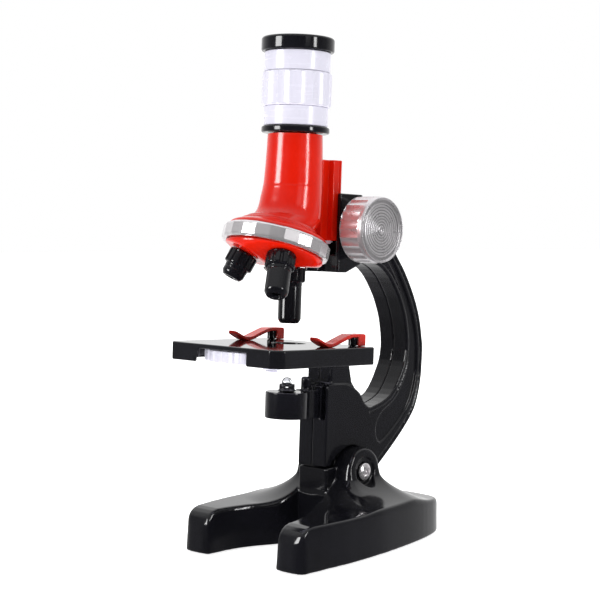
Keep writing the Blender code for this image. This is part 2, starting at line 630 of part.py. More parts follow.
def pinion_outline():
    """Twelve trapezoid teeth, one gap facing the rack (-Y)."""
    points = []
    for i in range(PINION_TEETH):
        middle = math.pi + (i + 0.5) * 2 * math.pi / PINION_TEETH
        for radius, half in ((2.85, 0.68), (PITCH_RADIUS + 0.5, 0.18),
                             (PITCH_RADIUS + 0.5, -0.18), (2.85, -0.68)):
            angle = middle - half / radius
            points.append((SHAFT[0] + radius * math.cos(angle),
                           SHAFT[1] + radius * math.sin(angle)))
    return points


def make_rack():
    """Straight teeth that face the pinion; a tooth stands level with the shaft at rest."""
    pitch = math.pi * MODULE
    line = SHAFT[0] - PITCH_RADIUS
    back, root, tip = 21.8, line - 0.75, line + 0.5
    first, last = -3, 14
    points = [(back, SHAFT[1] + (last + 0.5) * pitch), (back, SHAFT[1] + (first - 0.5) * pitch)]
    for i in range(first, last + 1):
        z = SHAFT[1] + i * pitch
        points += [(root, z - 0.5), (tip, z - 0.18), (tip, z + 0.18), (root, z + 0.5)]
    finish(prism(points, "X", -3.0, 3.0), "rack", WHITE, CARRIAGE, smooth=False)


def make_slide_rail():
    flange = prism([(-7.9, 17.0), (7.9, 17.0), (7.9, 20.4), (8.7, 20.9), (8.7, 21.5),
                    (-8.7, 21.5), (-8.7, 20.9), (-7.9, 20.4)], "Z", 134.0, 169.0)
    web = box(-5.0, 5.0, 12.9, 18, 134.0, 169.0)
    join(flange, web)
    finish(flange, "slide_rail", RED, CARRIAGE, smooth=False)


# ---------------------------------------------------------------- tube and eyepiece
def tube_ring(z, radius, centre_y, lean, count=FINE):
    ring = []
    for i in range(count):
        angle = 2 * math.pi * i / count
        x, y = radius * math.cos(angle), radius * math.sin(angle)
        lift = y * math.tan(math.radians(-lean))
        ring.append((x, centre_y + y * math.cos(math.radians(lean)),
                     z + lift * math.cos(math.radians(lean))))
    return ring


def turret_ring_at(distance, radius, count=FINE):
    """Ring square to the turret axis, at a distance below its apex."""
    s, c = math.sin(math.radians(TURRET_LEAN)), math.cos(math.radians(TURRET_LEAN))
    ring = []
    for i in range(count):
        angle = 2 * math.pi * i / count
        x, y = radius * math.cos(angle), radius * math.sin(angle)
        ring.append((x, y * c - distance * s, TURRET_APEX - distance * c - y * s))
    return ring


def make_body_tube():
    tube = loft([tube_ring(178.8, 11.85, 0, 0), tube_ring(165, 12.35, -0.1, 0),
                 tube_ring(155, 12.95, -0.7, 0.5), tube_ring(148, 13.6, -1.6, 3),
                 tube_ring(143, 14.45, -3.3, 8), turret_ring_at(27.0, 15.2),
                 turret_ring_at(28.6, 16.7), turret_ring_at(29.8, 19.0),
                 turret_ring_at(30.6, 21.0), turret_ring_at(31.6, 21.4)])
    cut(tube, rod("Z", (0, 0), 9.4, 128, 190, ROUND))
    join(tube, box(-4.0, 4.0, 10.6, 12.6, 140, 168))
    finish(tube, "body_tube", RED, CARRIAGE)


def make_eyepiece():
    collar = turned([(14.2, EYE_BOTTOM), (14.65, EYE_BOTTOM + 0.4), (14.65, EYE_BOTTOM + 2.3),
                     (14.3, EYE_BOTTOM + 2.7)], count=FINE)
    cut(collar, rod("Z", (0, 0), 9.6, 170, 190, ROUND))
    finish(collar, "tube_collar", BLACK, CARRIAGE)

    low, high = EYE_BOTTOM + 2.7 + GAP, EYE_TOP - 6 - GAP
    tube = turned([(13.75, low), (13.75, 190.4), (12.6, 190.4), (12.6, 205.4), (14.2, 205.4),
                   (14.2, high)], count=FINE)
    cut(tube, rod("Z", (0, 0), 11.0, 186, 225, ROUND), rod("Z", (0, 0), 9.0, 175, 190, ROUND))
    finish(tube, "eyepiece_tube", WHITE, CARRIAGE)

    ring = turned([(14.3, 190.7), (14.95, 191.1, True), (14.95, 204.7, True), (14.3, 205.1)],
                  count=54, waves=18, depth=0.4)
    cut(ring, rod("Z", (0, 0), 12.85, 185, 210, FINE))
    finish(ring, "zoom_ring", WHITE, ZOOM)

    low = EYE_TOP - 6
    cap = turned([(15.3, low), (15.7, low + 0.4), (15.7, EYE_TOP - 0.5), (15.25, EYE_TOP)],
                 count=FINE)
    cut(cap, rod("Z", (0, 0), 8.6, 200, 225, ROUND), rod("Z", (0, 0), 10.6, 200, low + 2.2, ROUND))
    finish(cap, "eyepiece_cap", BLACK, CARRIAGE)
    lens = turned([(8.0, low + 0.3), (10.2, low + 0.6), (10.2, low + 1.8), (6.0, low + 2.4),
                   (2.0, low + 2.7)], count=ROUND)
    finish(lens, "eye_lens", GLASS, CARRIAGE)
    field = turned([(3.0, 187.3), (8.0, 187.9), (10.6, 188.4), (10.6, 190.0)], count=ROUND)
    finish(field, "field_lens", GLASS, CARRIAGE)


# ---------------------------------------------------------------- turret (its own frame)
def direction(index):
    """Unit vector of an objective below the apex; 0 is the one over the stage."""
    turn = math.radians(90 + 120 * index)
    s, c = math.sin(math.radians(TURRET_LEAN)), math.cos(math.radians(TURRET_LEAN))
    return (s * math.cos(turn), s * math.sin(turn), -c)


def beam(index, profile, count=ROUND, waves=0, depth=0.0):
    """Turned solid along an objective's axis; heights are distances from the apex."""
    ax, ay, az = direction(index)
    side = (-ay, ax, 0.0)
    length = math.hypot(side[0], side[1])
    side = (side[0] / length, side[1] / length, 0.0)
    up = (ay * side[2] - az * side[1], az * side[0] - ax * side[2], ax * side[1] - ay * side[0])
    sections = []
    for entry in profile:
        ring = []
        for i in range(count):
            angle = 2 * math.pi * i / count
            radius = entry[0]
            if len(entry) > 2 and waves:
                radius -= depth * (0.5 - 0.5 * math.cos(angle * waves))
            cs, sn = radius * math.cos(angle), radius * math.sin(angle)
            ring.append((ax * entry[1] + side[0] * cs + up[0] * sn,
                         ay * entry[1] + side[1] * cs + up[1] * sn,
                         az * entry[1] + side[2] * cs + up[2] * sn))
        sections.append(ring)
    return loft(sections)


def make_turret():
    lips = loft([[(x, y, z) for x, y in circle(r, RING_FACETS)] for r, z in (
        (22.2, -38.4), (23.2, -37.6), (23.2, -32.6), (22.4, -31.9))])
    cut(lips, rod("Z", (0, 0), 21.8, -33.0, -30, FINE), rod("Z", (0, 0), 20.9, -40, -30, FINE))
    finish(lips, "turret_ring", SILVER, TURRET, smooth=False)

    cone = turned([(20.5, -32.2), (20.5, -38.75), (21.2, -38.9), (21.2, -39.8), (20.0, -41.6),
                   (17.5, -43.6), (13.0, -45.6), (6.0, -47.0)], count=FINE)
    bm = bmesh.new()
    bm.from_mesh(cone.data)
    bpy.data.objects.remove(cone, do_unlink=True)
    for i in range(3):
        way = direction(i)
        geometry = list(bm.verts) + list(bm.edges) + list(bm.faces)
        cutting = bmesh.ops.bisect_plane(bm, geom=geometry, plane_co=[v * 43.4 for v in way],
                                         plane_no=way, clear_outer=True)
        rim = [e for e in cutting["geom_cut"] if isinstance(e, bmesh.types.BMEdge)]
        bmesh.ops.contextual_create(bm, geom=rim)
    cone = solid(bm)
    cut(cone, *[beam(i, [(4.2, 28), (4.2, 48)], SMALL) for i in range(3)])
    cut(cone, rod("Z", (0, 0), 1.9, -50, -30, SMALL))
    finish(cone, "turret_cone", RED, TURRET)


def make_turret_screw():
    """Runs up the turret axis into the tube's flange; drawn in the turret frame."""
    screw = turned([(2.0, -47.8), (2.8, -47.3), (2.8, -46.2), (1.6, -46.2), (1.6, -32.0)],
                   count=SMALL)
    cut(screw, box(-1.6, 1.6, -0.35, 0.35, -49, -47.2), box(-0.35, 0.35, -1.6, 1.6, -49, -47.2))
    finish(screw, "turret_screw", STEEL, TURRET)


def make_objectives():
    for name, index, tip in (("long", 0, 67.75), ("mid", 2, 63.0), ("short", 1, 55.5)):
        profile = [(3.9, 39.0), (3.9, 43.7), (5.8, 43.7), (6.4, 44.2, True), (6.4, 49.6, True),
                   (5.9, 50.1), (5.1, 50.3), (5.0, tip - 1.7), (3.9, tip)]
        body = beam(index, profile, 24, 12, 0.5)
        cut(body, beam(index, [(2.9, 38), (2.9, tip - 1.8)], TINY),
            beam(index, [(2.0, tip - 2.5), (2.0, tip - 0.5)], TINY),
            beam(index, [(2.6, tip - 0.8), (2.6, tip + 1)], TINY))
        finish(body, "objective_" + name, BLACK, TURRET)
        lens = beam(index, [(2.4, tip - 3.4), (2.4, tip - 2.2), (1.0, tip - 2.0)], TINY)
        finish(lens, "lens_" + name, GLASS, TURRET)


make_base_shell()
make_base_cover()
make_base_screws()
make_batteries()
make_pivot()
make_arm_half("arm_left", -1)
make_arm_half("arm_right", 1)
make_arm_screws()
make_focus_housing()
make_stage()
make_stage_screw()
make_disc()
make_clips()
make_lamp()
make_drive()
make_rack()
make_slide_rail()
make_body_tube()
make_eyepiece()
make_turret()
make_turret_screw()
make_objectives()
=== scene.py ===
"""Looks for the toy microscope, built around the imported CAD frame.

Shapes are drawn in millimetres in the CAD's own drawing frames (floor, leaning arm, turret),
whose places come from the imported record's joints. Moulded pieces are distance fields turned
into meshes, turned pieces are lathe profiles with rounded corners.
"""

import json
import math

import bmesh
import bpy
import numpy as np
from mathutils import Matrix, Vector


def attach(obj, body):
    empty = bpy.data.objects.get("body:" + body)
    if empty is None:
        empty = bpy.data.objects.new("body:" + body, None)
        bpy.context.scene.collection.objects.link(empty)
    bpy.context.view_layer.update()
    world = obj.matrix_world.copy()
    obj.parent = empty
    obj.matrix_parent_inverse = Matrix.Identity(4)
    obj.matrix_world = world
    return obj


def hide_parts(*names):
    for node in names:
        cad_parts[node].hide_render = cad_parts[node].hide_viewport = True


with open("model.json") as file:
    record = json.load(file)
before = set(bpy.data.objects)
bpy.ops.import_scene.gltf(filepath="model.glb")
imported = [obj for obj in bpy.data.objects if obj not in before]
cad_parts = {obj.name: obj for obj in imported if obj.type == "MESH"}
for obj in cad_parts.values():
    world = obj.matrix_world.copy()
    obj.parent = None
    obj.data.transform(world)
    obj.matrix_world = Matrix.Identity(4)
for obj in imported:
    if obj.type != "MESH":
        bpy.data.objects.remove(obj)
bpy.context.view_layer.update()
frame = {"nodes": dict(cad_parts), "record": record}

MM = 0.001
JOINTS = {joint["name"]: joint for joint in frame["record"]["behaviour"]["joints"]}

# Drawing coordinates (mm) of the joints, as the CAD draws them
HINGE = (35.5, 31.7)             # tilt hinge in the floor frame, y and z
TILT_AXIS = (36.0, 32.33)        # the same hinge in the arm's frame
SHAFT = (26.5, 139.2)
TURRET_APEX = 165.6
TURRET_LEAN = 16.5
STAGE_TOP = 89.14
STAGE_BOTTOM = 81.6
STAGE_SCREW = (0, 28)
CLIP_X = 23.8
CLIP_POST_Y = 14.6
DISC_CENTRE = (2.0, -12.3)
DISC_RADIUS = 28.5
DISC_RIM = (81.8, 86.84)         # bottom and top of its rim
WHEEL_TOP = STAGE_TOP - 3.3      # top of the web inside the rim
LAMP_Z = 62.6

hinge_place = Vector(JOINTS["arm_tilt"]["pos_m"])
arm_up = Vector(JOINTS["focus_travel"]["axis"])
turret_up = Vector(JOINTS["turret_turn"]["axis"])
SHIFT_Y = hinge_place.y / MM - HINGE[0]


def lean_of(axis):
    return -math.atan2(axis.y, axis.z)


FLOOR = Matrix.Translation((0, SHIFT_Y * MM, 0)) @ Matrix.Scale(MM, 4)
ARM = (Matrix.Translation(hinge_place) @ Matrix.Rotation(lean_of(arm_up), 4, "X")
       @ Matrix.Scale(MM, 4) @ Matrix.Translation((0, -TILT_AXIS[0], -TILT_AXIS[1])))
TURRET = (Matrix.Translation(JOINTS["turret_turn"]["pos_m"])
          @ Matrix.Rotation(lean_of(turret_up), 4, "X") @ Matrix.Scale(MM, 4))


# --- materials
class Nodes:
    """The node tree of a material or a world, with short ways to build it."""
    def __init__(self, owner):
        owner.use_nodes = True
        self.tree = owner.node_tree

    def feed(self, socket, source):
        """Link an output to a socket, or set the socket to a plain value."""
        if isinstance(source, bpy.types.NodeSocket):
            self.tree.links.new(source, socket)
        else:
            socket.default_value = (*source, 1) if socket.type == "RGBA" else source

    def add(self, kind, inputs, output=0, **settings):
        """Add a node, feed its inputs by name or number, and return one of its outputs."""
        node = self.tree.nodes.new("ShaderNode" + kind)
        for key, value in settings.items():
            setattr(node, key, value)
        for key, source in inputs.items():
            self.feed(node.inputs[key], source)
        return node.outputs[output]

    def place(self):
        return self.add("TexCoord", {}, "Object")

    def noise(self, place, scale, detail, stretch=None):
        if stretch:
            place = self.add("Mapping", {"Vector": place, "Scale": stretch}, "Vector")
        return self.add("TexNoise", {"Vector": place, "Scale": scale, "Detail": detail}, "Fac")

    def spread(self, value, low_in, high_in, low_out, high_out):
        return self.add("MapRange", {"Value": value, "From Min": low_in, "From Max": high_in,
                                     "To Min": low_out, "To Max": high_out}, "Result")

    def mixed(self, factor, first, second):
        return self.add("Mix", {0: factor, 6: first, 7: second}, 2, data_type="RGBA")

    def math(self, operation, first, second):
        return self.add("Math", {0: first, 1: second}, operation=operation)

    def vector(self, operation, first, second, output="Vector"):
        return self.add("VectorMath", {0: first, 1: second}, output, operation=operation)


def material_base(name, colour, roughness, metallic=0.0):
    material = bpy.data.materials.new(name)
    nodes = Nodes(material)
    shader = nodes.tree.nodes["Principled BSDF"].inputs
    nodes.feed(shader["Base Color"], colour)
    shader["Roughness"].default_value = roughness
    shader["Metallic"].default_value = metallic
    return material, nodes, shader


def add_bump(nodes, shader, height, strength):
    bump = {"Strength": strength, "Distance": 0.0001, "Height": height}
    nodes.feed(shader["Normal"], nodes.add("Bump", bump, "Normal"))


def moulded(name, colour, shade, roughness, edge, peel=0.02, level=0.5, dust=0.05):
    """Moulded plastic: cloudy tone, uneven gloss, orange peel, rubbed edges, faint dust."""
    material, nodes, shader = material_base(name, colour, roughness)
    place = nodes.place()
    tone = nodes.mixed(nodes.spread(nodes.noise(place, 45, 2), 0.35, 0.65, 0, 1), colour, shade)
    corners = nodes.add("NewGeometry", {}, "Pointiness")
    tone = nodes.mixed(nodes.spread(corners, 0.54, 0.62, 0, 0.35), tone, edge)
    specks = nodes.spread(nodes.noise(place, 2600, 2), 0.70, 0.80, 0, dust)
    nodes.feed(shader["Base Color"], nodes.mixed(specks, tone, DUST))
    fine = nodes.spread(nodes.noise(place, 380, 4), 0.3, 0.7, roughness * 0.85, roughness * 1.2)
    scuffs = nodes.spread(nodes.noise(place, 60, 5, (1, 1, 14)), 0.58, 0.72, 0, roughness * 0.4)
    nodes.feed(shader["Roughness"], nodes.math("ADD", fine, scuffs))
    add_bump(nodes, shader, nodes.noise(place, 500, 2), peel)
    shader["Specular IOR Level"].default_value = level
    return material


def metallised(name, colour, roughness, stretch=None, metallic=1.0, grit=0.05, shaded_grooves=False):
    """Silvered or plated face with cloudy gloss; on the knobs, painted shade darkens the turned
    grooves and the sunk band.
    """
    material, nodes, shader = material_base(name, colour, roughness, metallic)
    place = nodes.place()
    cloud = nodes.spread(nodes.noise(place, 90, 3), 0.35, 0.65, 0, 1)
    tone = nodes.mixed(cloud, colour, tuple(c * 0.92 for c in colour))
    if shaded_grooves:
        # painted shade: the knob's turned grooves and sunk band are darkened towards a fifth of the
        # colour
        tone = nodes.mixed(groove_shade_mask(nodes, place), tone, tuple(c * 0.2 for c in colour))
    nodes.feed(shader["Base Color"], tone)
    grain = nodes.noise(place, 300, 2, stretch)
    gloss = nodes.spread(grain, 0.3, 0.7, roughness * 0.85, roughness * 1.2)
    nodes.feed(shader["Roughness"], gloss)
    add_bump(nodes, shader, grain, grit)
    return material


def groove_shade_mask(nodes, place):
    """Painted shade: narrow dark rings in the turned grooves round the focus shaft, and the sunk band
    inside the knob's rim.
    """
    offset = nodes.vector("SUBTRACT", place, ARM @ Vector((0, *SHAFT)))
    flat = nodes.vector("MULTIPLY", offset, (0, 1, 1))
    radius = nodes.add("VectorMath", {0: flat}, "Value", operation="LENGTH")
    first, last, gap = RING_FIRST * MM, RING_LAST * MM, RING_GAP * MM
    turns = nodes.spread(radius, first, first + gap * 20, 0, 20)
    share = nodes.add("Math", {0: turns}, operation="FRACT")
    rings = nodes.math("ADD", nodes.spread(share, 0.0, 0.30, 1, 0),
                       nodes.spread(share, 0.82, 1.0, 0, 1))
    rings = nodes.math("MULTIPLY", rings, nodes.spread(radius, first - FADE, first, 0, 1))
    rings = nodes.math("MULTIPLY", rings, nodes.spread(radius, last, last + FADE, 1, 0))
    band = nodes.math("MINIMUM", nodes.spread(radius, BAND[0], BAND[0] + FADE, 0, BAND_SHADE),
                      nodes.spread(radius, BAND[1], BAND[1] + FADE, BAND_SHADE, 0))
    return nodes.math("ADD", rings, band)


def clear(name, colour, roughness):
    material, nodes, shader = material_base(name, colour, roughness)
    shader["Transmission Weight"].default_value = 1.0
    shader["IOR"].default_value = 1.49
    smear = nodes.noise(nodes.place(), 500, 3)
    nodes.feed(shader["Roughness"], nodes.spread(smear, 0.4, 0.7, roughness, roughness + 0.08))
    return material


DUST = (0.55, 0.55, 0.56)
# The knob's turned grooves and sunk band get painted shade; BAND_SHADE is how dark the band is
# painted.
RING_FIRST, RING_LAST, RING_GAP = 2.2, 11.0, 8.8 / 7    # the knob's turned grooves, in mm
FADE, BAND, BAND_SHADE = 0.0003, (0.0117, 0.0130), 0.45    # its sunk band, in metres
BLACK = moulded("gloss_black_plastic", (0.006, 0.006, 0.008), (0.008, 0.008, 0.011), 0.10,
                (0.03, 0.03, 0.034), 0.005, 0.42, 0.004)
STAGE_BLACK = moulded("stage_black_plastic", (0.007, 0.007, 0.009), (0.009, 0.009, 0.012), 0.05,
                      (0.04, 0.04, 0.045), 0.004, 0.5, 0.0)
MATT_BLACK = moulded("matt_black_plastic", (0.014, 0.014, 0.016), (0.022, 0.022, 0.024), 0.42,
                     (0.06, 0.06, 0.06), 0.10)
RED = moulded("gloss_red_plastic", (0.80, 0.014, 0.002), (0.76, 0.011, 0.002), 0.16,
              (0.84, 0.035, 0.012), 0.014, 0.5, 0.0)
CLIP_RED = moulded("clip_red_plastic", (0.78, 0.028, 0.016), (0.73, 0.022, 0.012), 0.22,
                   (0.84, 0.07, 0.05), 0.02, 0.5, 0.0)
WHITE = moulded("cool_white_plastic", (0.80, 0.785, 0.90), (0.78, 0.765, 0.885), 0.24,
                (0.90, 0.90, 0.96), 0.012, 0.45, 0.0)
SILVER = metallised("satin_silver", (0.84, 0.81, 0.83), 0.22, None, 0.8, 0.0)
# the knob: silver with painted shade in its turned grooves and sunk band
KNOB_SILVER = metallised("knob_silver", (0.67, 0.65, 0.67), 0.30, None, 0.72, 0.0, True)
PLATED = metallised("plated_steel", (0.66, 0.65, 0.63), 0.30, (1, 1, 6))
MIRROR = metallised("mirror_face", (0.92, 0.92, 0.92), 0.04, None, 1.0, 0.0)
GLASS = clear("clear_glass", (0.90, 0.92, 0.93), 0.02)
SLEEVE = moulded("cell_sleeve", (0.20, 0.21, 0.25), (0.16, 0.17, 0.20), 0.35, (0.3, 0.3, 0.32))


# --- meshes
BODY_OF = {node: body for body, members in frame["record"]["behaviour"]["bodies"].items()
           for node in members}
CORNER_STEPS = 4                 # segments in a rounded corner of a lathe profile


def piece(name, node, points, faces, matrix, material, sharp=None, replaces=True):
    """Mesh that rides like a CAD node and, unless it only adds to the node, replaces it."""
    mesh = bpy.data.meshes.new(name)
    mesh.from_pydata([tuple(p) for p in points], [], [tuple(f) for f in faces])
    mesh.transform(matrix)
    mesh.materials.append(material)
    mesh.shade_smooth()
    if sharp:
        mesh.set_sharp_from_angle(angle=math.radians(sharp))
    mesh.update()
    thing = bpy.data.objects.new(name, mesh)
    bpy.context.scene.collection.objects.link(thing)
    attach(thing, BODY_OF[node])
    if replaces:
        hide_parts(node)
    return thing


def rounded(profile, radius):
    """Round the corners of an open (radius, height) profile."""
    result = [profile[0]]
    for before, corner, after in zip(profile, profile[1:], profile[2:]):
        a, b, c = (np.array(p[:2], float) for p in (before, corner, after))
        r = corner[2] if len(corner) > 2 else radius
        one, two = np.linalg.norm(a - b), np.linalg.norm(c - b)
        reach = min(r, one * 0.45, two * 0.45)
        if reach < 0.01:
            result.append(tuple(b))
            continue
        p, q = b + (a - b) / one * reach, b + (c - b) / two * reach
        for i in range(CORNER_STEPS + 1):
            t = i / CORNER_STEPS
            result.append(tuple((1 - t) ** 2 * p + 2 * t * (1 - t) * b + t ** 2 * q))
    result.append(profile[-1][:2])
    return result


def lathe(profile, count, wave, axis):
    """Profile turned about an axis; wave(angle, height, radius) is what a pattern cuts off it."""
    origin, along = Vector(axis[0]), Vector(axis[1]).normalized()
    side = along.cross(Vector((0, 1, 0)) if abs(along.y) < 0.9 else Vector((1, 0, 0)))
    side.normalize()
    other = along.cross(side)
    points, faces = [], []
    for radius, height in profile:
        for i in range(count):
            angle = 2 * math.pi * i / count
            local = radius - (wave(angle, height, radius) if wave else 0.0)
            points.append(origin + along * height
                          + (side * math.cos(angle) + other * math.sin(angle)) * local)
    for row in range(len(profile) - 1):
        for i in range(count):
            j = (i + 1) % count
            base = row * count
            faces.append((base + i, base + j, base + count + j, base + count + i))
    faces.append(tuple(range(count))[::-1])
    last = (len(profile) - 1) * count
    faces.append(tuple(range(last, last + count)))
    return points, faces


def turned(name, node, profile, matrix, material, radius, count, wave=None,
           axis=((0, 0, 0), (0, 0, 1)), ring=False, sharp=40):
    """A turned piece. As a ring its profile closes on itself and leaves a bore."""
    if ring:
        outline = rounded(profile + profile[:2], radius)[1:-1]
        points, faces = lathe(outline, count, wave, axis)
        faces = faces[:-2]
        last = (len(outline) - 1) * count
        faces += [(last + i, last + (i + 1) % count, (i + 1) % count, i) for i in range(count)]
    else:
        points, faces = lathe(rounded(profile, radius), count, wave, axis)
    fix_normals(piece(name, node, points, faces, matrix, material, sharp))


def fix_normals(thing):
    bm = bmesh.new()
    bm.from_mesh(thing.data)
    bmesh.ops.recalc_face_normals(bm, faces=bm.faces)
    bm.to_mesh(thing.data)
    bm.free()
    weighted = thing.modifiers.new("weighted", "WEIGHTED_NORMAL")
    weighted.keep_sharp = True


# --- distance fields (mm)
def polygon(u, v, outline):
    """Signed distance to a closed outline, negative inside."""
    shape = np.broadcast(u, v).shape
    best = np.full(shape, 1e9)
    inside = np.zeros(shape, bool)
    points = np.asarray(outline, float)
    for (ax, ay), (bx, by) in zip(points, np.roll(points, -1, axis=0)):
        ex, ey = bx - ax, by - ay
        share = np.clip(((u - ax) * ex + (v - ay) * ey) / (ex * ex + ey * ey), 0, 1)
        gap = (u - ax - share * ex) ** 2 + (v - ay - share * ey) ** 2
        best = np.minimum(best, gap)
        crosses = ((ay > v) != (by > v)) & (u < (bx - ax) * (v - ay) / (by - ay + 1e-12) + ax)
        inside ^= crosses
    distance = np.sqrt(best)
    return np.where(inside, -distance, distance)


def common(*shapes):
    """Intersection: the greatest distance at each point."""
    result = shapes[0]
    for shape in shapes[1:]:
        result = np.maximum(result, shape)
    return result


def either(*shapes):
    """Union: the least distance at each point."""
    return -common(*(-shape for shape in shapes))


def cut(body, tool):
    return common(body, -tool)


def disc(u, v, centre, radius):
    return np.sqrt((u - centre[0]) ** 2 + (v - centre[1]) ** 2) - radius


def slab(w, low, high):
    return np.maximum(low - w, w - high)


def meet(a, b, r=0.0):
    """Intersection with a rounded edge."""
    if np.max(r) <= 0:
        return np.maximum(a, b)
    u, v = np.maximum(a + r, 0), np.maximum(b + r, 0)
    return np.sqrt(u * u + v * v) - r + np.minimum(np.maximum(a, b) + r, 0)


def merge(a, b, r=0.0):
    """Union with a filleted corner."""
    return -meet(-a, -b, r)


def carve(a, b, r=0.0):
    return meet(a, -b, r)


def block(x, y, z, low, high, r=0.0):
    """Box with rounded edges."""
    q = [np.maximum(lo - p, p - hi) + r for p, lo, hi in zip((x, y, z), low, high)]
    outside = np.sqrt(sum(np.maximum(a, 0) ** 2 for a in q))
    return outside + np.minimum(np.maximum(np.maximum(q[0], q[1]), q[2]), 0) - r


def spline(rows, parts):
    """Catmull-Rom curve through an open list of rows, with parts steps between them."""
    rows = [np.array(row, float) for row in rows]
    ends = [2 * rows[0] - rows[1]] + rows + [2 * rows[-1] - rows[-2]]
    result = []
    for a, b, c, d in zip(ends, ends[1:], ends[2:], ends[3:]):
        for i in range(parts):
            t = i / parts
            result.append(0.5 * (2 * b + (c - a) * t + (2 * a - 5 * b + 4 * c - d) * t * t
                                 + (3 * b - a - 3 * c + d) * t ** 3))
    result.append(rows[-1])
    return result


def curve(points, parts):
    return [(float(p[0]), float(p[1])) for p in spline(points, parts)]


CELL_CORNERS = [(i, j, k) for i in (0, 1) for j in (0, 1) for k in (0, 1)]


def net(field, low, high, step):
    """Surface nets: vertices and quads on the zero surface of field(x, y, z)."""
    axes = [np.arange(lo - 1.5 * step, hi + 2.5 * step, step) for lo, hi in zip(low, high)]
    x, y, z = axes[0][:, None, None], axes[1][None, :, None], axes[2][None, None, :]
    values = np.broadcast_to(field(x, y, z), [len(a) for a in axes]).astype(np.float32)
    inside = values < 0
    size = [n - 1 for n in values.shape]
    total = sum(inside[tuple(slice(c, c + n) for c, n in zip(corner, size))].astype(np.int8)
                for corner in CELL_CORNERS)
    cells = np.argwhere((total > 0) & (total < 8))
    places = cell_places(values, cells)
    points = np.stack([axes[i][0] + places[:, i] * step for i in range(3)], 1)
    for _ in range(3):
        points = settle(field, points, step)
    number = np.full(size, -1, np.int32)
    number[tuple(cells.T)] = np.arange(len(cells))
    return points, np.concatenate([net_quads(inside, number, axis) for axis in range(3)])


def cell_places(values, cells):
    """Mean of the points where the surface crosses each cell's edges, in grid steps."""
    sums, hits = np.zeros((len(cells), 3)), np.zeros(len(cells))
    for a in CELL_CORNERS:
        for axis in range(3):
            if a[axis]:
                continue
            b = list(a)
            b[axis] = 1
            va = values[tuple((cells + a).T)]
            vb = values[tuple((cells + b).T)]
            change = (va < 0) != (vb < 0)
            share = np.where(change, va / np.where(change, va - vb, 1), 0)
            spot = np.array(a, float) + np.zeros((len(cells), 3))
            spot[:, axis] = share
            sums += np.where(change[:, None], spot, 0)
            hits += change
    return cells + sums / hits[:, None]


def net_quads(inside, number, axis):
    """Quads round the grid edges along one axis that the surface crosses."""
    u, v = (axis + 1) % 3, (axis + 2) % 3
    first, second = [slice(1, -1)] * 3, [slice(1, -1)] * 3
    first[axis], second[axis] = slice(0, -1), slice(1, None)
    start = inside[tuple(first)]
    edges = np.argwhere(start != inside[tuple(second)])
    way = start[tuple(edges.T)]
    offset = np.array([1, 1, 1])
    offset[axis] = 0
    edges = edges + offset
    around = []
    for du, dv in ((-1, -1), (0, -1), (0, 0), (-1, 0)):
        cell = edges.copy()
        cell[:, u] += du
        cell[:, v] += dv
        around.append(number[tuple(cell.T)])
    quads = np.stack(around, 1)
    quads[~way] = quads[~way][:, ::-1]
    return quads


def settle(field, points, step):
    """Slide points along the field's slope onto its zero surface."""
    x, y, z = points.T
    tiny = 0.02
    here = field(x, y, z)
    slope = np.stack([field(x + tiny, y, z) - here, field(x, y + tiny, z) - here,
                      field(x, y, z + tiny) - here], 1) / tiny
    size = np.maximum((slope ** 2).sum(1), 0.05)
    move = slope * (here / size)[:, None]
    return points - np.clip(move, -0.45 * step, 0.45 * step)


def moulding(name, node, field, low, high, step, matrix, material, replaces=True):
    points, faces = net(field, low, high, step)
    piece(name, node, points, faces, matrix, material, replaces=replaces)


def both_sides(half):
    return half + [(-x, y) for x, y in reversed(half)]


# --- base
BASE_SIDE = [(8.2, 17.8), (8.6, 13), (9.6, 8), (11.6, 3), (14.6, -3), (17.2, -10),
             (18.6, -18), (19.2, -26.6), (21.0, -28.1), (25, -28.6), (29, -28.6),
             (33.0, -27.9), (35.1, -25.8), (35.6, -20), (36.2, -10), (37, 0), (37, 10),
             (36.4, 22), (35.3, 34), (33.6, 47), (31.2, 61), (28.4, 70.5), (24.5, 77),
             (18.5, 81), (10, 82.6)]
BASE_HALF = [(min(x, 36.95), max(y, -28.55)) for x, y in curve(BASE_SIDE, 3)]
BASE_PLAN = both_sides(BASE_HALF)
DECK_Y = (-40, -28.6, -27.6, -26.2, -24.6, -22.6, -20.0, -15, 20, 50, 90)
DECK_Z = (8.0, 10.6, 13.2, 15.6, 17.3, 18.4, 18.95, 19.0, 19.0, 17.6, 13.6)
BOSS_SPOTS = ((-27, -17), (27, -17), (-25.5, 60), (25.5, 60))
DOOR = (-25.5, 25.5, 27.0, 53.0)
FLARE, FLARE_LOW = 15.0, 26.0    # fillet from the hinge ears to the deck, widening downwards
NOSE_DRAFT = 0.07                # the prongs' ends narrow upwards
BASE_FOOT = 0.3                  # the side walls stop just above the floor


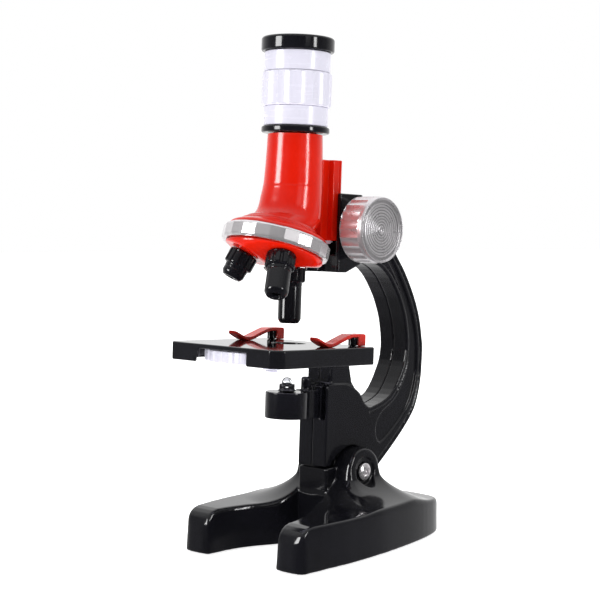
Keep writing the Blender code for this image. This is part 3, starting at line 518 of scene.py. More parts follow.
def base_field(x, y, z):
    plan = polygon(x, y, BASE_PLAN) + NOSE_DRAFT * z * np.interp(y, (-26, -10), (1, 0))
    rise = (z - np.interp(y, DECK_Y, DECK_Z)) * 0.92
    solid = meet(plan, rise, 2.0)
    knuckle = disc(y, z, HINGE, 10.4)
    foot = common(slab(y, 25.2, 46.0), z - HINGE[1])
    ears = meet(either(knuckle, foot), np.abs(x) - 15.5, 1.5)
    flare = np.interp(z, (19, 29), (FLARE_LOW, FLARE))
    body = meet(merge(ears, solid, flare), plan, 1.5)
    front = block(x, y, z, (-8.2, 17.9, -10), (8.2, 26.0, 34.4), 0.8)
    body = merge(body, front, 0.9)
    slot = common(np.abs(x) - 8.5, 25.6 - y, 17.2 - z)
    body = carve(body, slot, 0.5)
    cheeks = common(disc(y, z, HINGE, 10.3), 5.5 - np.abs(x), np.abs(x) - 9.5)
    body = either(body, cheeks)
    well = common(disc(y, z, HINGE, 6.2), 14.9 - np.abs(x))
    body = carve(body, well, 0.5)
    body = carve(body, common(disc(y, z, HINGE, 4.4), 14.4 - x), 0.3)
    body = cut(body, disc(y, z, HINGE, 2.2))
    body = cut(body, common(disc(y, z, HINGE, 4.1), x + 13.0))
    hollow = common(plan + 2.0, rise + 2.4, z - 14.5)
    for spot in BOSS_SPOTS:
        hollow = cut(hollow, disc(x, y, spot, 3.2))
    body = cut(body, hollow)
    body = cut(body, common(plan + 2.0, z - 1.9))
    return meet(body, BASE_FOOT - z, 0.5)


def cover_field(x, y, z):
    plate = meet(polygon(x, y, BASE_PLAN) + 2.3, slab(z, 0.0, 1.6), 0.3)
    x0, x1, y0, y1 = DOOR
    plate = carve(plate, common(slab(x, x0 - 0.3, x1 + 0.3), slab(y, y0 - 0.3, y1 + 0.3)), 0.2)
    for spot in BOSS_SPOTS:
        plate = cut(plate, common(disc(x, y, spot, 2.7), z - 1.05))
        plate = cut(plate, disc(x, y, spot, 1.3))
    return plate


def door_field(x, y, z):
    x0, x1, y0, y1 = DOOR
    plate = block(x, y, z, (x0, y0, 0.0), (x1, y1, 1.6), 0.25)
    lip = block(x, y, z, (-8, y1 - 2, 1.2), (8, y1 + 3, 3.0), 0.2)
    lip = cut(lip, common(y1 - 0.5 - y, z - 1.9))
    plate = either(plate, lip)
    for i in range(5):
        rib = y1 - 4.0 - i * 1.6
        plate = carve(plate, common(slab(x, -7, 7), slab(y, rib, rib + 0.8), z - 0.35), 0.1)
    hole = (0, y0 + 3.5)
    plate = cut(plate, common(disc(x, y, hole, 2.7), z - 1.05))
    return cut(plate, disc(x, y, hole, 1.3))


def make_base():
    moulding("base_body", "base_shell", base_field, (-37.2, -28.8, 0.1), (37.2, 82.8, 42.6), 0.62,
             FLOOR, BLACK)
    moulding("bottom_plate", "base_cover", cover_field, (-37, -28.5, 0), (37, 82.5, 1.6), 0.6,
             FLOOR, MATT_BLACK)
    moulding("battery_lid", "battery_door", door_field, (-25.6, 26.9, 0), (25.6, 56.2, 3.1), 0.4,
             FLOOR, MATT_BLACK)
    for name, y, way in (("battery_front", 35.2, 1), ("battery_rear", 46.8, -1)):
        profile = [(0.3, -21.4), (4.6, -21.4), (5.2, -21.0), (5.2, 20.4), (4.6, 20.8),
                   (1.9, 20.85), (1.8, 21.9), (0.3, 21.9)]
        turned("cell_" + name[8:], name, profile, FLOOR, SLEEVE, 0.25, 48,
               axis=((0, y, 8.2), (way, 0, 0)))


# --- fasteners
def screw_field(head, dome, shank, length, seat):
    """Pan head with a cross recess; its top at z = 0, pointing down."""
    def field(x, y, z):
        radial = np.sqrt(x * x + y * y)
        cap = np.sqrt(radial ** 2 + (z + dome) ** 2) - dome
        solid = meet(common(cap, -seat - z), radial - head, 0.12)
        ridge = 0.07 * np.cos(2 * math.pi * z / 0.9)
        taper = np.clip((z + length) / 1.2, 0.15, 1.0)
        stem = common(radial - (shank + ridge) * taper, z + seat - 0.2, -length - z)
        solid = either(solid, stem)
        wide, thin = head * 0.62 + z * 0.30, head * 0.17 + z * 0.08
        cross = either(common(np.abs(x) - wide, np.abs(y) - thin),
                       common(np.abs(y) - wide, np.abs(x) - thin))
        return carve(solid, common(cross, -seat * 0.7 - z), 0.06)
    return field


def screw(name, node, matrix, head, length, seat, shank, material, dome, turn):
    spin = Matrix.Rotation(math.radians(turn), 4, "Z")
    moulding(name, node, screw_field(head, dome, shank, length, seat), (-head, -head, -length),
             (head, head, 0), head / 17, matrix @ spin, material)


def facing(place, way):
    """Matrix that takes +Z to a direction at a place."""
    turn = Vector((0, 0, 1)).rotation_difference(Vector(way)).to_matrix().to_4x4()
    return Matrix.Translation(place) @ turn


def nut_field(x, y, z):
    across = common(np.abs(x), np.abs(x) * 0.5 + np.abs(y) * 0.866) - 3.12
    cone = np.sqrt(x * x + y * y) + np.abs(z - 1.15) * 1.7 - 5.2
    solid = meet(meet(across, slab(z, 0, 2.3), 0.1), cone, 0.1)
    return carve(solid, np.sqrt(x * x + y * y) - 2.08 - 0.06 * np.cos(z * 9), 0.15)


def make_fasteners():
    y, z = HINGE
    screw("hinge_screw", "pivot_screw", FLOOR @ facing((16.9, y, z), (1, 0, 0)), 3.8, 31.9, 2.0,
          1.95, SILVER, 7.0, 38)
    moulding("hinge_nut", "pivot_nut", nut_field, (-3.7, -3.7, 0), (3.7, 3.7, 2.3), 0.2,
             FLOOR @ facing((-13.3, y, z), (-1, 0, 0)), PLATED)
    for number, (sy, sz) in enumerate(ARM_SCREWS, 1):
        screw(f"arm_fastener_{number}", f"arm_screw_{number}",
              ARM @ facing((-7.7, sy, sz), (-1, 0, 0)), 2.3, 12.7, 0.9, 1.0, PLATED, 4.2,
              25 * number)
    for number, (sx, sy) in enumerate(BOSS_SPOTS, 1):
        screw(f"cover_fastener_{number}", f"cover_screw_{number}",
              FLOOR @ facing((sx, sy, 0.25), (0, 0, -1)), 2.4, 8.0, 0.5, 1.0, PLATED, 5.0,
              31 * number)
    screw("lid_fastener", "door_screw", FLOOR @ facing((0, DOOR[2] + 3.5, 0.25), (0, 0, -1)), 2.4,
          3.4, 0.5, 1.0, PLATED, 5.0, 12)
    screw("neck_fastener", "stage_screw", ARM @ Matrix.Translation((*STAGE_SCREW, STAGE_BOTTOM + 3.2)),
          2.4, 12.2, 1.4, 1.0, PLATED, 4.0, 20)
    screw("turret_fastener", "turret_screw", TURRET @ facing((0, 0, -47.8), (0, 0, -1)), 2.8, 15.8,
          1.6, 1.5, PLATED, 4.5, 10)


# --- arm
ARCH = [(22.0, 35.0), (22.4, 36.2), (24.1, 38.2), (28.7, 41.2), (31.8, 42.6), (35.0, 43.1),
        (38.4, 42.8), (41.7, 41.5), (44.6, 39.2), (46.7, 36.0), (47.3, 32.4)]
ARM_OUTER = [(52.3, 31.0), (58.0, 35.6), (65.6, 42.0), (72.6, 48.5), (76.8, 53.0),
             (80.2, 57.6), (82.5, 63.5), (84.0, 69.9), (84.6, 76), (84.7, 82.4),
             (84.6, 87), (83.8, 90.8), (82.4, 97), (80.1, 103.4), (76.8, 110),
             (72.6, 116.7), (67.9, 123), (62.6, 128.9), (56.8, 136.6), (50.0, 143.8),
             (43.0, 149.6), (35.3, 154.2)]
ARM_INNER = [(35.3, 125.0), (40.5, 125.6), (45.5, 125.0), (50.0, 123.6), (54.0, 121.6),
             (58.5, 118), (62.3, 113.5), (65.6, 109), (68.1, 104.3), (70.2, 99.5),
             (71.5, 94.3), (72.3, 90), (72.5, 85), (71.6, 79.6), (69.5, 75), (66.3, 69.4),
             (62, 64.5), (56, 61.6), (51, 60.2), (47.9, 59.4), (45, 60.7), (42.7, 62.8),
             (40.4, 66.1), (36.1, 68.8), (32.6, 70.3), (29.1, 70.9), (19.0, 71.1)]
PANEL = [(49.5, 131.5), (53.5, 128.5), (58, 124.5), (63.5, 117.5), (68.5, 109), (72.5, 99.5),
         (74.6, 90), (74.7, 82), (73, 74), (69.5, 67.5), (64.5, 62), (59, 58.8), (55, 56.0),
         (52.3, 51.6), (52.4, 46.6), (55.6, 43.0), (62.2, 46.8), (69.0, 52.4), (73.4, 57),
         (76.8, 62), (79.2, 68.4), (80.4, 75.6), (80.4, 83), (79.4, 91.5), (76, 101.5),
         (70.4, 112), (63.4, 122), (56.5, 130.4), (52.8, 134.2)]
ARM_SCREWS = ((27.0, 55.0), (53.5, 54.5), (77.0, 84.0), (62.0, 121.5))
ARM_PROFILE = ([(17.5, 35.0)] + curve(ARCH, 2) + curve(ARM_OUTER, 2) + curve(ARM_INNER[:-1], 2)
               + [ARM_INNER[-1], (17.5, 69.8)])
PANEL_PROFILE = curve(PANEL, 2)
NECK = [(21.0, 66), (40.0, 66), (35.2, 71.5), (32.6, 81.2), (21.0, 81.2)]


def arm_field(side):
    def field(x, y, z):
        depth = x * side
        profile = polygon(y, z, ARM_PROFILE)
        body = meet(profile, depth - 8.0, 0.55)
        body = carve(body, meet(polygon(y, z, PANEL_PROFILE), 7.0 - depth, 0.5), 0.35)
        rim = np.abs(profile + 2.1) - 0.28
        body = carve(body, common(rim, 7.65 - depth, 47 - y), 0.15)
        neck = meet(polygon(y, z, NECK), depth - 7.0, 0.6)
        body = merge(body, neck, 0.8)
        head = common(slab(y, 31.6, 40), slab(z, 129, 149), depth - 5.9)
        body = either(body, head)
        recess = block(depth, y, z, (4.3, 10, 55.6), (6.9, 20.6, 90), 0.3)
        body = carve(body, recess, 0.3)
        groove = common(np.abs(depth - 7.15) - 0.16, y - 18.1, slab(z, 36.2, 55.6))
        body = carve(body, groove, 0.1)
        tongue = common(disc(y, z, TILT_AXIS, 9.8), depth - 5.2)
        web = common(slab(y, 27.2, 45.4), slab(z, 33, 46), depth - 5.2)
        body = either(body, tongue, web)
        body = cut(body, disc(y, z, TILT_AXIS, 2.3))
        if side < 0:
            for spot in ARM_SCREWS:
                body = carve(body, common(disc(y, z, spot, 2.6), 6.2 - depth), 0.2)
        body = cut(body, common(disc(x, y, STAGE_SCREW, 1.2), 66 - z))
        return common(body, 0.15 - depth)
    return field


def make_arm():
    for name, side in (("left", -1), ("right", 1)):
        low, high = (0.1, 8.1) if side > 0 else (-8.1, -0.1)
        moulding("arm_half_" + name, "arm_" + name, arm_field(side), (low, 17.3, 22.3),
                 (high, 84.9, 154.4), 0.5, ARM, BLACK)


HOUSING = [(19.7, 120.2), (25.4, 120.2), (34.6, 123.9), (34.9, 124.2), (34.9, 154.2),
           (34.4, 154.7), (20.2, 154.7), (19.7, 154.2)]


def housing_field(x, y, z):
    body = meet(polygon(y, z, HOUSING), np.abs(x) - 10, 0.6)
    body = carve(body, common(np.abs(x) - 8.2, y - 21.0), 0.15)
    body = cut(body, common(np.abs(x) - 9.0, slab(y, 20.6, 22.0)))
    body = cut(body, common(np.abs(x) - 6.0, y - 31.2, slab(z, 128, 152)))
    body = cut(body, common(np.abs(x) - 3.4, y - 24.2))
    body = cut(body, common(np.abs(x) - 6.2, 30 - y, slab(z, 128.7, 149.3)))
    return cut(body, disc(y, z, SHAFT, 1.96))


def make_housing():
    moulding("focus_block", "focus_housing", housing_field, (-10.1, 19.6, 120), (10.1, 35, 154.8),
             0.42, ARM, BLACK)


# --- stage
STAGE_HALF, STAGE_FRONT, STAGE_REAR, STAGE_CORNER, REAR_CORNER = 32.5, -41.7, 20.2, 4.2, 1.5
STAGE_PLAN = both_sides([(STAGE_HALF - STAGE_CORNER, STAGE_FRONT),
                         (STAGE_HALF, STAGE_FRONT + STAGE_CORNER),
                         (STAGE_HALF, STAGE_REAR - REAR_CORNER),
                         (STAGE_HALF - REAR_CORNER, STAGE_REAR)])
NOTCH = (-14.8, 15.0)            # left and right end of the opening in the stage's front


def stage_field(x, y, z):
    plan = polygon(x, y, STAGE_PLAN)
    plate = meet(plan + 0.02, slab(z, STAGE_BOTTOM, STAGE_TOP), 0.45)
    hollow = common(plan + 1.6, z - STAGE_TOP + 2.0)
    plate = carve(plate, hollow, 0.3)
    pad = common(slab(x, -9, 9), slab(y, 17.8, 19.6), z - STAGE_TOP + 1)
    pad = common(pad, STAGE_BOTTOM - z)
    stub = common(disc(x, y, DISC_CENTRE, 4.0), slab(z, STAGE_TOP - 3.0, STAGE_TOP - 1))
    plate = either(plate, pad, stub)
    notch = common(slab(x, *NOTCH), y - STAGE_FRONT - 3, z - 87.2)
    plate = carve(plate, notch, 0.25)
    tab = block(x, y, z, (NOTCH[0] - 0.5, STAGE_FRONT + 0.03, STAGE_BOTTOM + 1.7),
                (NOTCH[0] + 2.2, STAGE_FRONT + 0.75, 87.5), 0.12)
    plate = either(plate, tab)
    bridge = block(x, y, z, (-9, 18.5, STAGE_BOTTOM), (9, 36, STAGE_BOTTOM + 4), 0.4)
    plate = merge(plate, bridge, 0.5)
    plate = carve(plate, disc(x, y, (0, 0), 7.0) + 0 * z, 0.3)
    plate = cut(plate, common(disc(x, y, DISC_CENTRE, 1.6), z - 87.5))
    plate = cut(plate, disc(x, y, STAGE_SCREW, 1.35))
    plate = cut(plate, common(disc(x, y, STAGE_SCREW, 2.6), STAGE_BOTTOM + 1.6 - z))
    for side in (-1, 1):
        plate = cut(plate, disc(x, y, (side * CLIP_X, CLIP_POST_Y), 1.3))
    return plate


def disc_field(x, y, z):
    top = WHEEL_TOP
    dx, dy = x - DISC_CENTRE[0], y - DISC_CENTRE[1]
    radial, angle = np.sqrt(dx * dx + dy * dy), np.arctan2(dy, dx)
    rib = 0.25 * (1 - np.tanh(4 * np.cos(30 * angle)) / math.tanh(4))
    wheel = meet(radial - DISC_RADIUS + rib, slab(z, *DISC_RIM), 0.4)
    inside = radial - DISC_RADIUS + 2.2
    wheel = carve(wheel, common(inside, either(z - top + 1.4, top - z)), 0.2)
    hub = meet(radial - 3.6, slab(z, top - 7.6, top - 1), 0.3)
    wheel = merge(wheel, hub, 0.6)
    reach, start = math.hypot(*DISC_CENTRE), math.atan2(-DISC_CENTRE[1], -DISC_CENTRE[0])
    for i, radius in enumerate((5.0, 4.0, 3.0, 2.0, 1.2)):
        turn = start + i * 2 * math.pi / 5
        spot = (reach * math.cos(turn), reach * math.sin(turn))
        wheel = carve(wheel, disc(dx, dy, spot, radius) + 0 * z, 0.2)
    return common(wheel, 1.7 - radial)


CLIP_LOWER = [(18.7, 89.25), (18.7, 93.1), (12.2, 93.1), (10.4, 92.8), (4.0, 90.8),
              (0.5, 89.6), (-2.4, 89.12), (-5.2, 89.7), (-10.6, 92.3)]
CLIP_UPPER = [(-11.2, 93.6), (-5.9, 91.2), (-2.5, 90.7), (0.2, 91.0), (3.4, 92.1), (9.6, 94.1),
              (12.0, 94.4), (19.2, 94.4), (19.9, 93.7), (19.9, 89.25)]
CLIP_PROFILE = CLIP_LOWER[:2] + curve(CLIP_LOWER[2:], 3) + curve(CLIP_UPPER[:8], 3) + CLIP_UPPER[8:]
CLIP_HALF = 2.9


def clip_field(middle):
    def field(x, y, z):
        across = np.abs(x - middle)
        strip = meet(polygon(y, z, CLIP_PROFILE), across - CLIP_HALF, 0.2)
        plan = block(x, y, 0 * z, (middle - CLIP_HALF, -11.2, -20),
                     (middle + CLIP_HALF, 30, 20), 2.5)
        strip = common(strip, plan)
        cheek = block(across, y, z, (CLIP_HALF - 0.7, CLIP_POST_Y + 0.8, 89.25),
                      (CLIP_HALF, 19.9, 94.0), 0.15)
        strip = either(strip, cheek)
        return cut(strip, common(disc(x, y, (middle, CLIP_POST_Y), 1.3), z - 93.9))
    return field


def post_field(middle):
    def field(x, y, z):
        foot = meet(disc(x, y, (middle, CLIP_POST_Y), 1.9), slab(z, 89.44, 92.8), 0.25)
        pin = meet(disc(x, y, (middle, CLIP_POST_Y), 1.2), slab(z, 84.5, 93.8), 0.2)
        return either(foot, pin)
    return field


def make_stage():
    moulding("stage_table", "stage_plate", stage_field, (-32.7, -41.9, 81.4), (32.7, 36.2, 89.3),
             0.5, ARM, STAGE_BLACK)
    top = WHEEL_TOP
    moulding("aperture_wheel", "aperture_disc", disc_field, (-26.7, -41, top - 7.7),
             (30.7, 16.4, 87.0), 0.42, ARM, WHITE)
    rivet = [(0.4, top + 1.5), (1.45, top + 1.5), (1.45, top - 7.9), (2.7, top - 7.9),
             (2.7, top - 8.3), (2.0, top - 8.8), (0.4, top - 8.8)]
    turned("wheel_rivet", "disc_rivet", rivet, ARM, WHITE, 0.2, 64,
           axis=((*DISC_CENTRE, 0), (0, 0, 1)))
    for side, middle in (("left", -CLIP_X), ("right", CLIP_X)):
        moulding("specimen_clip_" + side, "clip_" + side, clip_field(middle),
                 (middle - 3.0, -11.3, 89.1), (middle + 3.0, 20.0, 94.5), 0.25, ARM, CLIP_RED)
        moulding("clip_foot_" + side, "clip_post_" + side, post_field(middle),
                 (middle - 2.0, 12.6, 84.4), (middle + 2.0, 16.6, 93.9), 0.22, ARM, BLACK)


# --- lamp
def bracket_field(x, y, z):
    body = block(x, y, z, (-4.0, 9.9, 56.0), (4.0, 17.2, 68.6), 0.5)
    radial = disc(x, y, (0, 12.2), 2.15)
    stub = meet(radial, z - 74.3, 1.2)
    body = merge(body, common(stub, 66 - z), 0.5)
    return cut(body, common(disc(x, z, (0, LAMP_Z), 1.6), y - 14.6))


def collar_field(x, y, z):
    """Socket crown: flared foot, ring of six windows, notched rim."""
    radial, angle = np.sqrt(x * x + y * y), np.arctan2(y, x)
    outer = 3.4 + np.clip(69.4 - z, 0, 0.6)
    collar = meet(radial - outer, slab(z, 68.6, 71.6), 0.2)
    around = (np.mod(angle / (math.pi / 3) + 0.3, 1) - 0.5) * math.pi / 3 * radial
    window = common(np.abs(around) - 0.55, slab(z, 69.8, 70.6))
    collar = carve(collar, window, 0.1)
    halfway = (np.mod(angle / (math.pi / 3) + 0.8, 1) - 0.5) * math.pi / 3 * radial
    collar = carve(collar, common(np.abs(halfway) - 0.45, 71.1 - z), 0.1)
    stem = common(radial - 3.0, slab(z, 63.0, 69.0))
    return common(either(collar, stem), 2.6 - radial)


def make_lamp():
    moulding("lamp_holder", "lamp_bracket", bracket_field, (-4.1, 9.8, 55.9), (4.1, 17.3, 74.4),
             0.32, ARM, BLACK)
    cup = [(3.3, 68.3), (9.3, 68.3, 0.5), (9.3, 56.9, 0.5), (8.0, 56.9), (8.0, 58.6), (4.6, 58.6),
           (4.6, 60.2), (7.8, 60.2), (7.8, 66.6), (3.3, 66.6)]
    turned("lamp_drum", "lamp_cup", cup, ARM, BLACK, 0.2, 128, ring=True)
    moulding("lamp_crown", "lamp_collar", collar_field, (-4.1, -4.1, 62.9), (4.1, 4.1, 71.7), 0.22,
             ARM, BLACK)
    bulb = [(0.15, 63.5), (2.3, 63.6, 0.4), (2.3, 72.2), (2.22, 72.9), (1.95, 73.5), (1.5, 74.05),
            (0.9, 74.4), (0.12, 74.5), (0.12, 73.5), (0.6, 73.35), (1.0, 72.9), (1.15, 72.3),
            (1.0, 71.6), (0.6, 71.2), (0.12, 71.1)]
    turned("lamp_bulb", "bulb", bulb, ARM, GLASS, 0.3, 64)
    glass = [(0.2, 57.1), (7.7, 57.1, 0.4), (7.7, 58.3), (0.2, 58.3)]
    turned("lamp_mirror", "mirror", glass, ARM, MIRROR, 0.15, 96)
    axle = [(0.2, 5.2), (1.5, 5.2), (1.5, 14.2), (0.2, 14.2)]
    turned("lamp_pin", "lamp_axle", axle, ARM, PLATED, 0.3, 48, axis=((0, 0, LAMP_Z), (0, 1, 0)))


# --- focus drive
KNOB_RADIUS, KNOB_IN, KNOB_OUT, KNOB_FLUTES = 14.5, 15.8, 28.6, 24


def scallops(count, depth, low, high, least):
    """Concave flutes with crests between them, fading out at the ends of low..high."""
    def wave(angle, height, radius):
        if radius < least:
            return 0.0
        share = angle * count / (2 * math.pi) % 1.0
        reach = min(abs(height - low), abs(high - height)) if low < height < high else 0.0
        return depth * (1 - (2 * share - 1) ** 2) * min(1.0, reach / 0.5)
    return wave


def knob_profile():
    """From the face's centre outwards, over the rim and back to the hub."""
    rings = [(0.15, KNOB_OUT - 1.25), (0.8, KNOB_OUT - 1.1, 0.3), (1.25, KNOB_OUT - 0.5, 0.3),
             (1.7, KNOB_OUT - 0.5, 0.3)]
    for i in range(round((RING_LAST - RING_FIRST) / RING_GAP)):
        r = RING_FIRST + i * RING_GAP
        rings += [(r, KNOB_OUT - 0.84, 0.2), (r + RING_GAP * 0.32, KNOB_OUT - 0.73, 0.3),
                  (r + RING_GAP * 0.72, KNOB_OUT - 0.68, 0.3)]
    rings += [(RING_LAST, KNOB_OUT - 0.84, 0.2), (11.3, KNOB_OUT - 0.35, 0.2),
              (11.6, KNOB_OUT - 0.35, 0.2), (11.9, KNOB_OUT - 0.9, 0.3),
              (13.1, KNOB_OUT - 0.75, 0.4), (13.6, KNOB_OUT, 0.25), (13.95, KNOB_OUT, 0.25),
              (14.3, KNOB_OUT - 0.9, 0.5), (14.3, KNOB_OUT - 2.4, 0.3),
              (KNOB_RADIUS, KNOB_OUT - 2.7, 0.2), (KNOB_RADIUS, KNOB_OUT - 6),
              (KNOB_RADIUS, KNOB_IN + 0.6, 0.5), (13.7, KNOB_IN, 0.3), (4.6, KNOB_IN, 0.8),
              (4.6, 10.4), (2.0, 10.4)]
    return rings


def make_drive():
    wave = scallops(KNOB_FLUTES, 0.6, KNOB_IN + 0.2, KNOB_OUT - 2.4, 14.35)
    for name, side in (("left", -1), ("right", 1)):
        turned("focus_knob_" + name, "knob_" + name, knob_profile(), ARM, KNOB_SILVER, 0.3, 288,
               wave, ((0, *SHAFT), (side, 0, 0)))


RAIL = [(-7.9, 17.0), (-5.0, 17.0), (-5.0, 12.9), (5.0, 12.9), (5.0, 17.0), (7.9, 17.0),
        (7.9, 20.4), (8.7, 20.9), (8.7, 21.5), (-8.7, 21.5), (-8.7, 20.9), (-7.9, 20.4)]


def rail_field(x, y, z):
    return meet(polygon(x, y, RAIL) + 0.02, slab(z, 134.0, 169.0), 0.35)


# --- tube and eyepiece
LEAN_SIN, LEAN_COS = math.sin(math.radians(TURRET_LEAN)), math.cos(math.radians(TURRET_LEAN))
TUBE_ROWS = [(178.8, 11.85, 0, 0), (172, 12.1, 0, 0), (165, 12.38, -0.1, 0),
             (159.5, 12.62, -0.3, 0.2), (157.4, 12.72, -0.4, 0.3), (156.4, 12.88, -0.5, 0.4),
             (155, 13.0, -0.65, 0.6), (151.5, 13.35, -1.1, 1.6), (148, 13.65, -1.6, 3.0),
             (145.5, 13.95, -2.2, 5.0), (143, 14.45, -3.3, 8.0)]
FOOT_ROWS = [(26.4, 14.75), (27.4, 15.4), (27.65, 16.4), (27.9, 16.85), (28.4, 17.05),
             (28.9, 18.2), (30.1, 20.5), (30.7, 21.1), (31.6, 21.4)]


def tube_point(row, angle):
    height, radius, centre, lean = row
    tilt = math.radians(lean)
    x, y = radius * math.cos(angle), radius * math.sin(angle)
    return (x, centre + y * math.cos(tilt), height - y * math.sin(tilt))


def foot_point(distance, radius, angle):
    x, y = radius * math.cos(angle), radius * math.sin(angle)
    return (x, y * LEAN_COS - distance * LEAN_SIN,
            TURRET_APEX - distance * LEAN_COS - y * LEAN_SIN)


def make_tube():
    count = 160
    angles = [2 * math.pi * i / count for i in range(count)]
    feet = spline(FOOT_ROWS, 3) + [(31.6, 9.6), (30.0, 9.5)]
    rings = [[tube_point(row, angle) for angle in angles] for row in spline(TUBE_ROWS, 4)]
    rings += [[foot_point(d, r, angle) for angle in angles] for d, r in feet]
    rings += [[(9.4 * math.cos(a), 9.4 * math.sin(a), z) for a in angles] for z in (146.0, 178.8)]
    points = [p for ring in rings for p in ring]
    total = len(rings)
    faces = [(r * count + i, r * count + (i + 1) % count,
              (r + 1) % total * count + (i + 1) % count, (r + 1) % total * count + i)
             for r in range(total) for i in range(count)]
    fix_normals(piece("main_tube", "body_tube", points, faces, ARM, RED, 40))
    moulding("rail", "slide_rail", rail_field, (-8.8, 12.8, 133.9), (8.8, 21.6, 169.1), 0.36, ARM,
             RED)
    low, high = (-4.0, 10.6, 140), (4.0, 12.85, 168)
    moulding("tube_key", "slide_rail", lambda x, y, z: block(x, y, z, low, high, 0.25), low, high,
             0.6, ARM, RED, False)


EYE_BOTTOM, EYE_TOP, ZOOM_FLUTES = 179.3, 220.0, 18


def make_eyepiece():
    low = EYE_BOTTOM
    collar = [(9.6, low), (14.2, low), (14.65, low + 0.5), (14.65, low + 2.2), (14.3, low + 2.7),
              (9.6, low + 2.7)]
    turned("collar", "tube_collar", collar, ARM, BLACK, 0.4, 160, ring=True)
    low, high = low + 3.0, EYE_TOP - 6.3
    tube = [(9.0, low), (13.75, low, 0.3), (13.75, 190.4, 0.3), (12.6, 190.4), (12.6, 205.4),
            (14.2, 205.4, 0.3), (14.2, high, 0.3), (11.0, high), (11.0, 186), (9.0, 186)]
    turned("eyepiece_body", "eyepiece_tube", tube, ARM, WHITE, 0.15, 160, ring=True)
    ring = [(12.85, 190.53), (14.3, 190.53, 0.3), (14.95, 191.2, 0.4), (14.95, 204.6, 0.4),
            (14.3, 205.27, 0.3), (12.85, 205.27)]
    turned("zoom_grip", "zoom_ring", ring, ARM, WHITE, 0.3, 360,
           scallops(ZOOM_FLUTES, 0.55, 190.8, 205.0, 14.1), ring=True)
    low = EYE_TOP - 6
    cap = [(8.6, EYE_TOP - 1.0), (9.6, EYE_TOP, 0.5), (15.1, EYE_TOP, 0.5),
           (15.7, EYE_TOP - 0.8, 0.4), (15.7, low + 0.6, 0.4), (15.3, low, 0.3), (10.6, low),
           (10.6, low + 2.2), (8.6, low + 2.2)]
    turned("eye_cap", "eyepiece_cap", cap, ARM, BLACK, 0.3, 160, ring=True)
    lens = [(0.1, low + 0.3), (8.0, low + 0.3), (10.2, low + 0.6), (10.2, low + 1.8),
            (8.0, low + 2.1), (6.0, low + 2.4), (4.0, low + 2.58), (2.0, low + 2.7),
            (0.1, low + 2.72)]
    turned("eye_glass", "eye_lens", lens, ARM, GLASS, 0.3, 96)
    field = [(0.1, 187.2), (3.0, 187.3), (8.0, 187.9), (10.6, 188.4), (10.6, 190.0), (0.1, 190.0)]
    turned("field_glass", "field_lens", field, ARM, GLASS, 0.3, 96)


# --- turret
RING_FACETS = 23


def facet_wave(count, least):
    """Flats round a ring whose corners reach the full radius."""
    pitch = 2 * math.pi / count

    def wave(angle, height, radius):
        if radius < least:
            return 0.0
        share = angle % pitch - pitch / 2
        return radius * (1 - math.cos(pitch / 2) / math.cos(share))
    return wave


def way_of(index):
    """Direction of an objective below the apex; 0 stands over the stage."""
    turn = math.radians(90 + 120 * index)
    return (LEAN_SIN * math.cos(turn), LEAN_SIN * math.sin(turn), -LEAN_COS)


CONE = [(0.0, -32.2), (20.5, -32.2), (20.5, -38.75), (21.2, -38.9), (21.2, -39.8), (20.6, -40.9),
        (19.3, -42.2), (17.5, -43.5), (15.3, -44.7), (13.0, -45.6), (9.6, -46.4), (6.0, -46.9),
        (0.0, -47.1)]
CONE_PROFILE = CONE + [(-r, z) for r, z in reversed(CONE[1:-1])]


def cone_field(x, y, z):
    radial = np.sqrt(x * x + y * y)
    body = polygon(radial, z, CONE_PROFILE)
    for i in range(3):
        way = way_of(i)
        depth = x * way[0] + y * way[1] + z * way[2]
        body = meet(body, depth - 43.4, 0.7)
        off = np.sqrt(np.maximum(x * x + y * y + z * z - depth * depth, 1e-9))
        body = carve(body, off - 4.2, 0.2)
    return common(body, 1.9 - radial)


def grip(count, depth, low, high, least):
    """Narrow slots cut along a collar."""
    def wave(angle, height, radius):
        if radius < least or not low < height < high:
            return 0.0
        share = abs(angle * count / (2 * math.pi) % 1.0 - 0.5)
        rise = min(1.0, max(0.0, (0.24 - share) / 0.10))
        ends = min(1.0, (height - low) / 0.5, (high - height) / 0.3)
        return depth * rise * rise * (3 - 2 * rise) * ends
    return wave


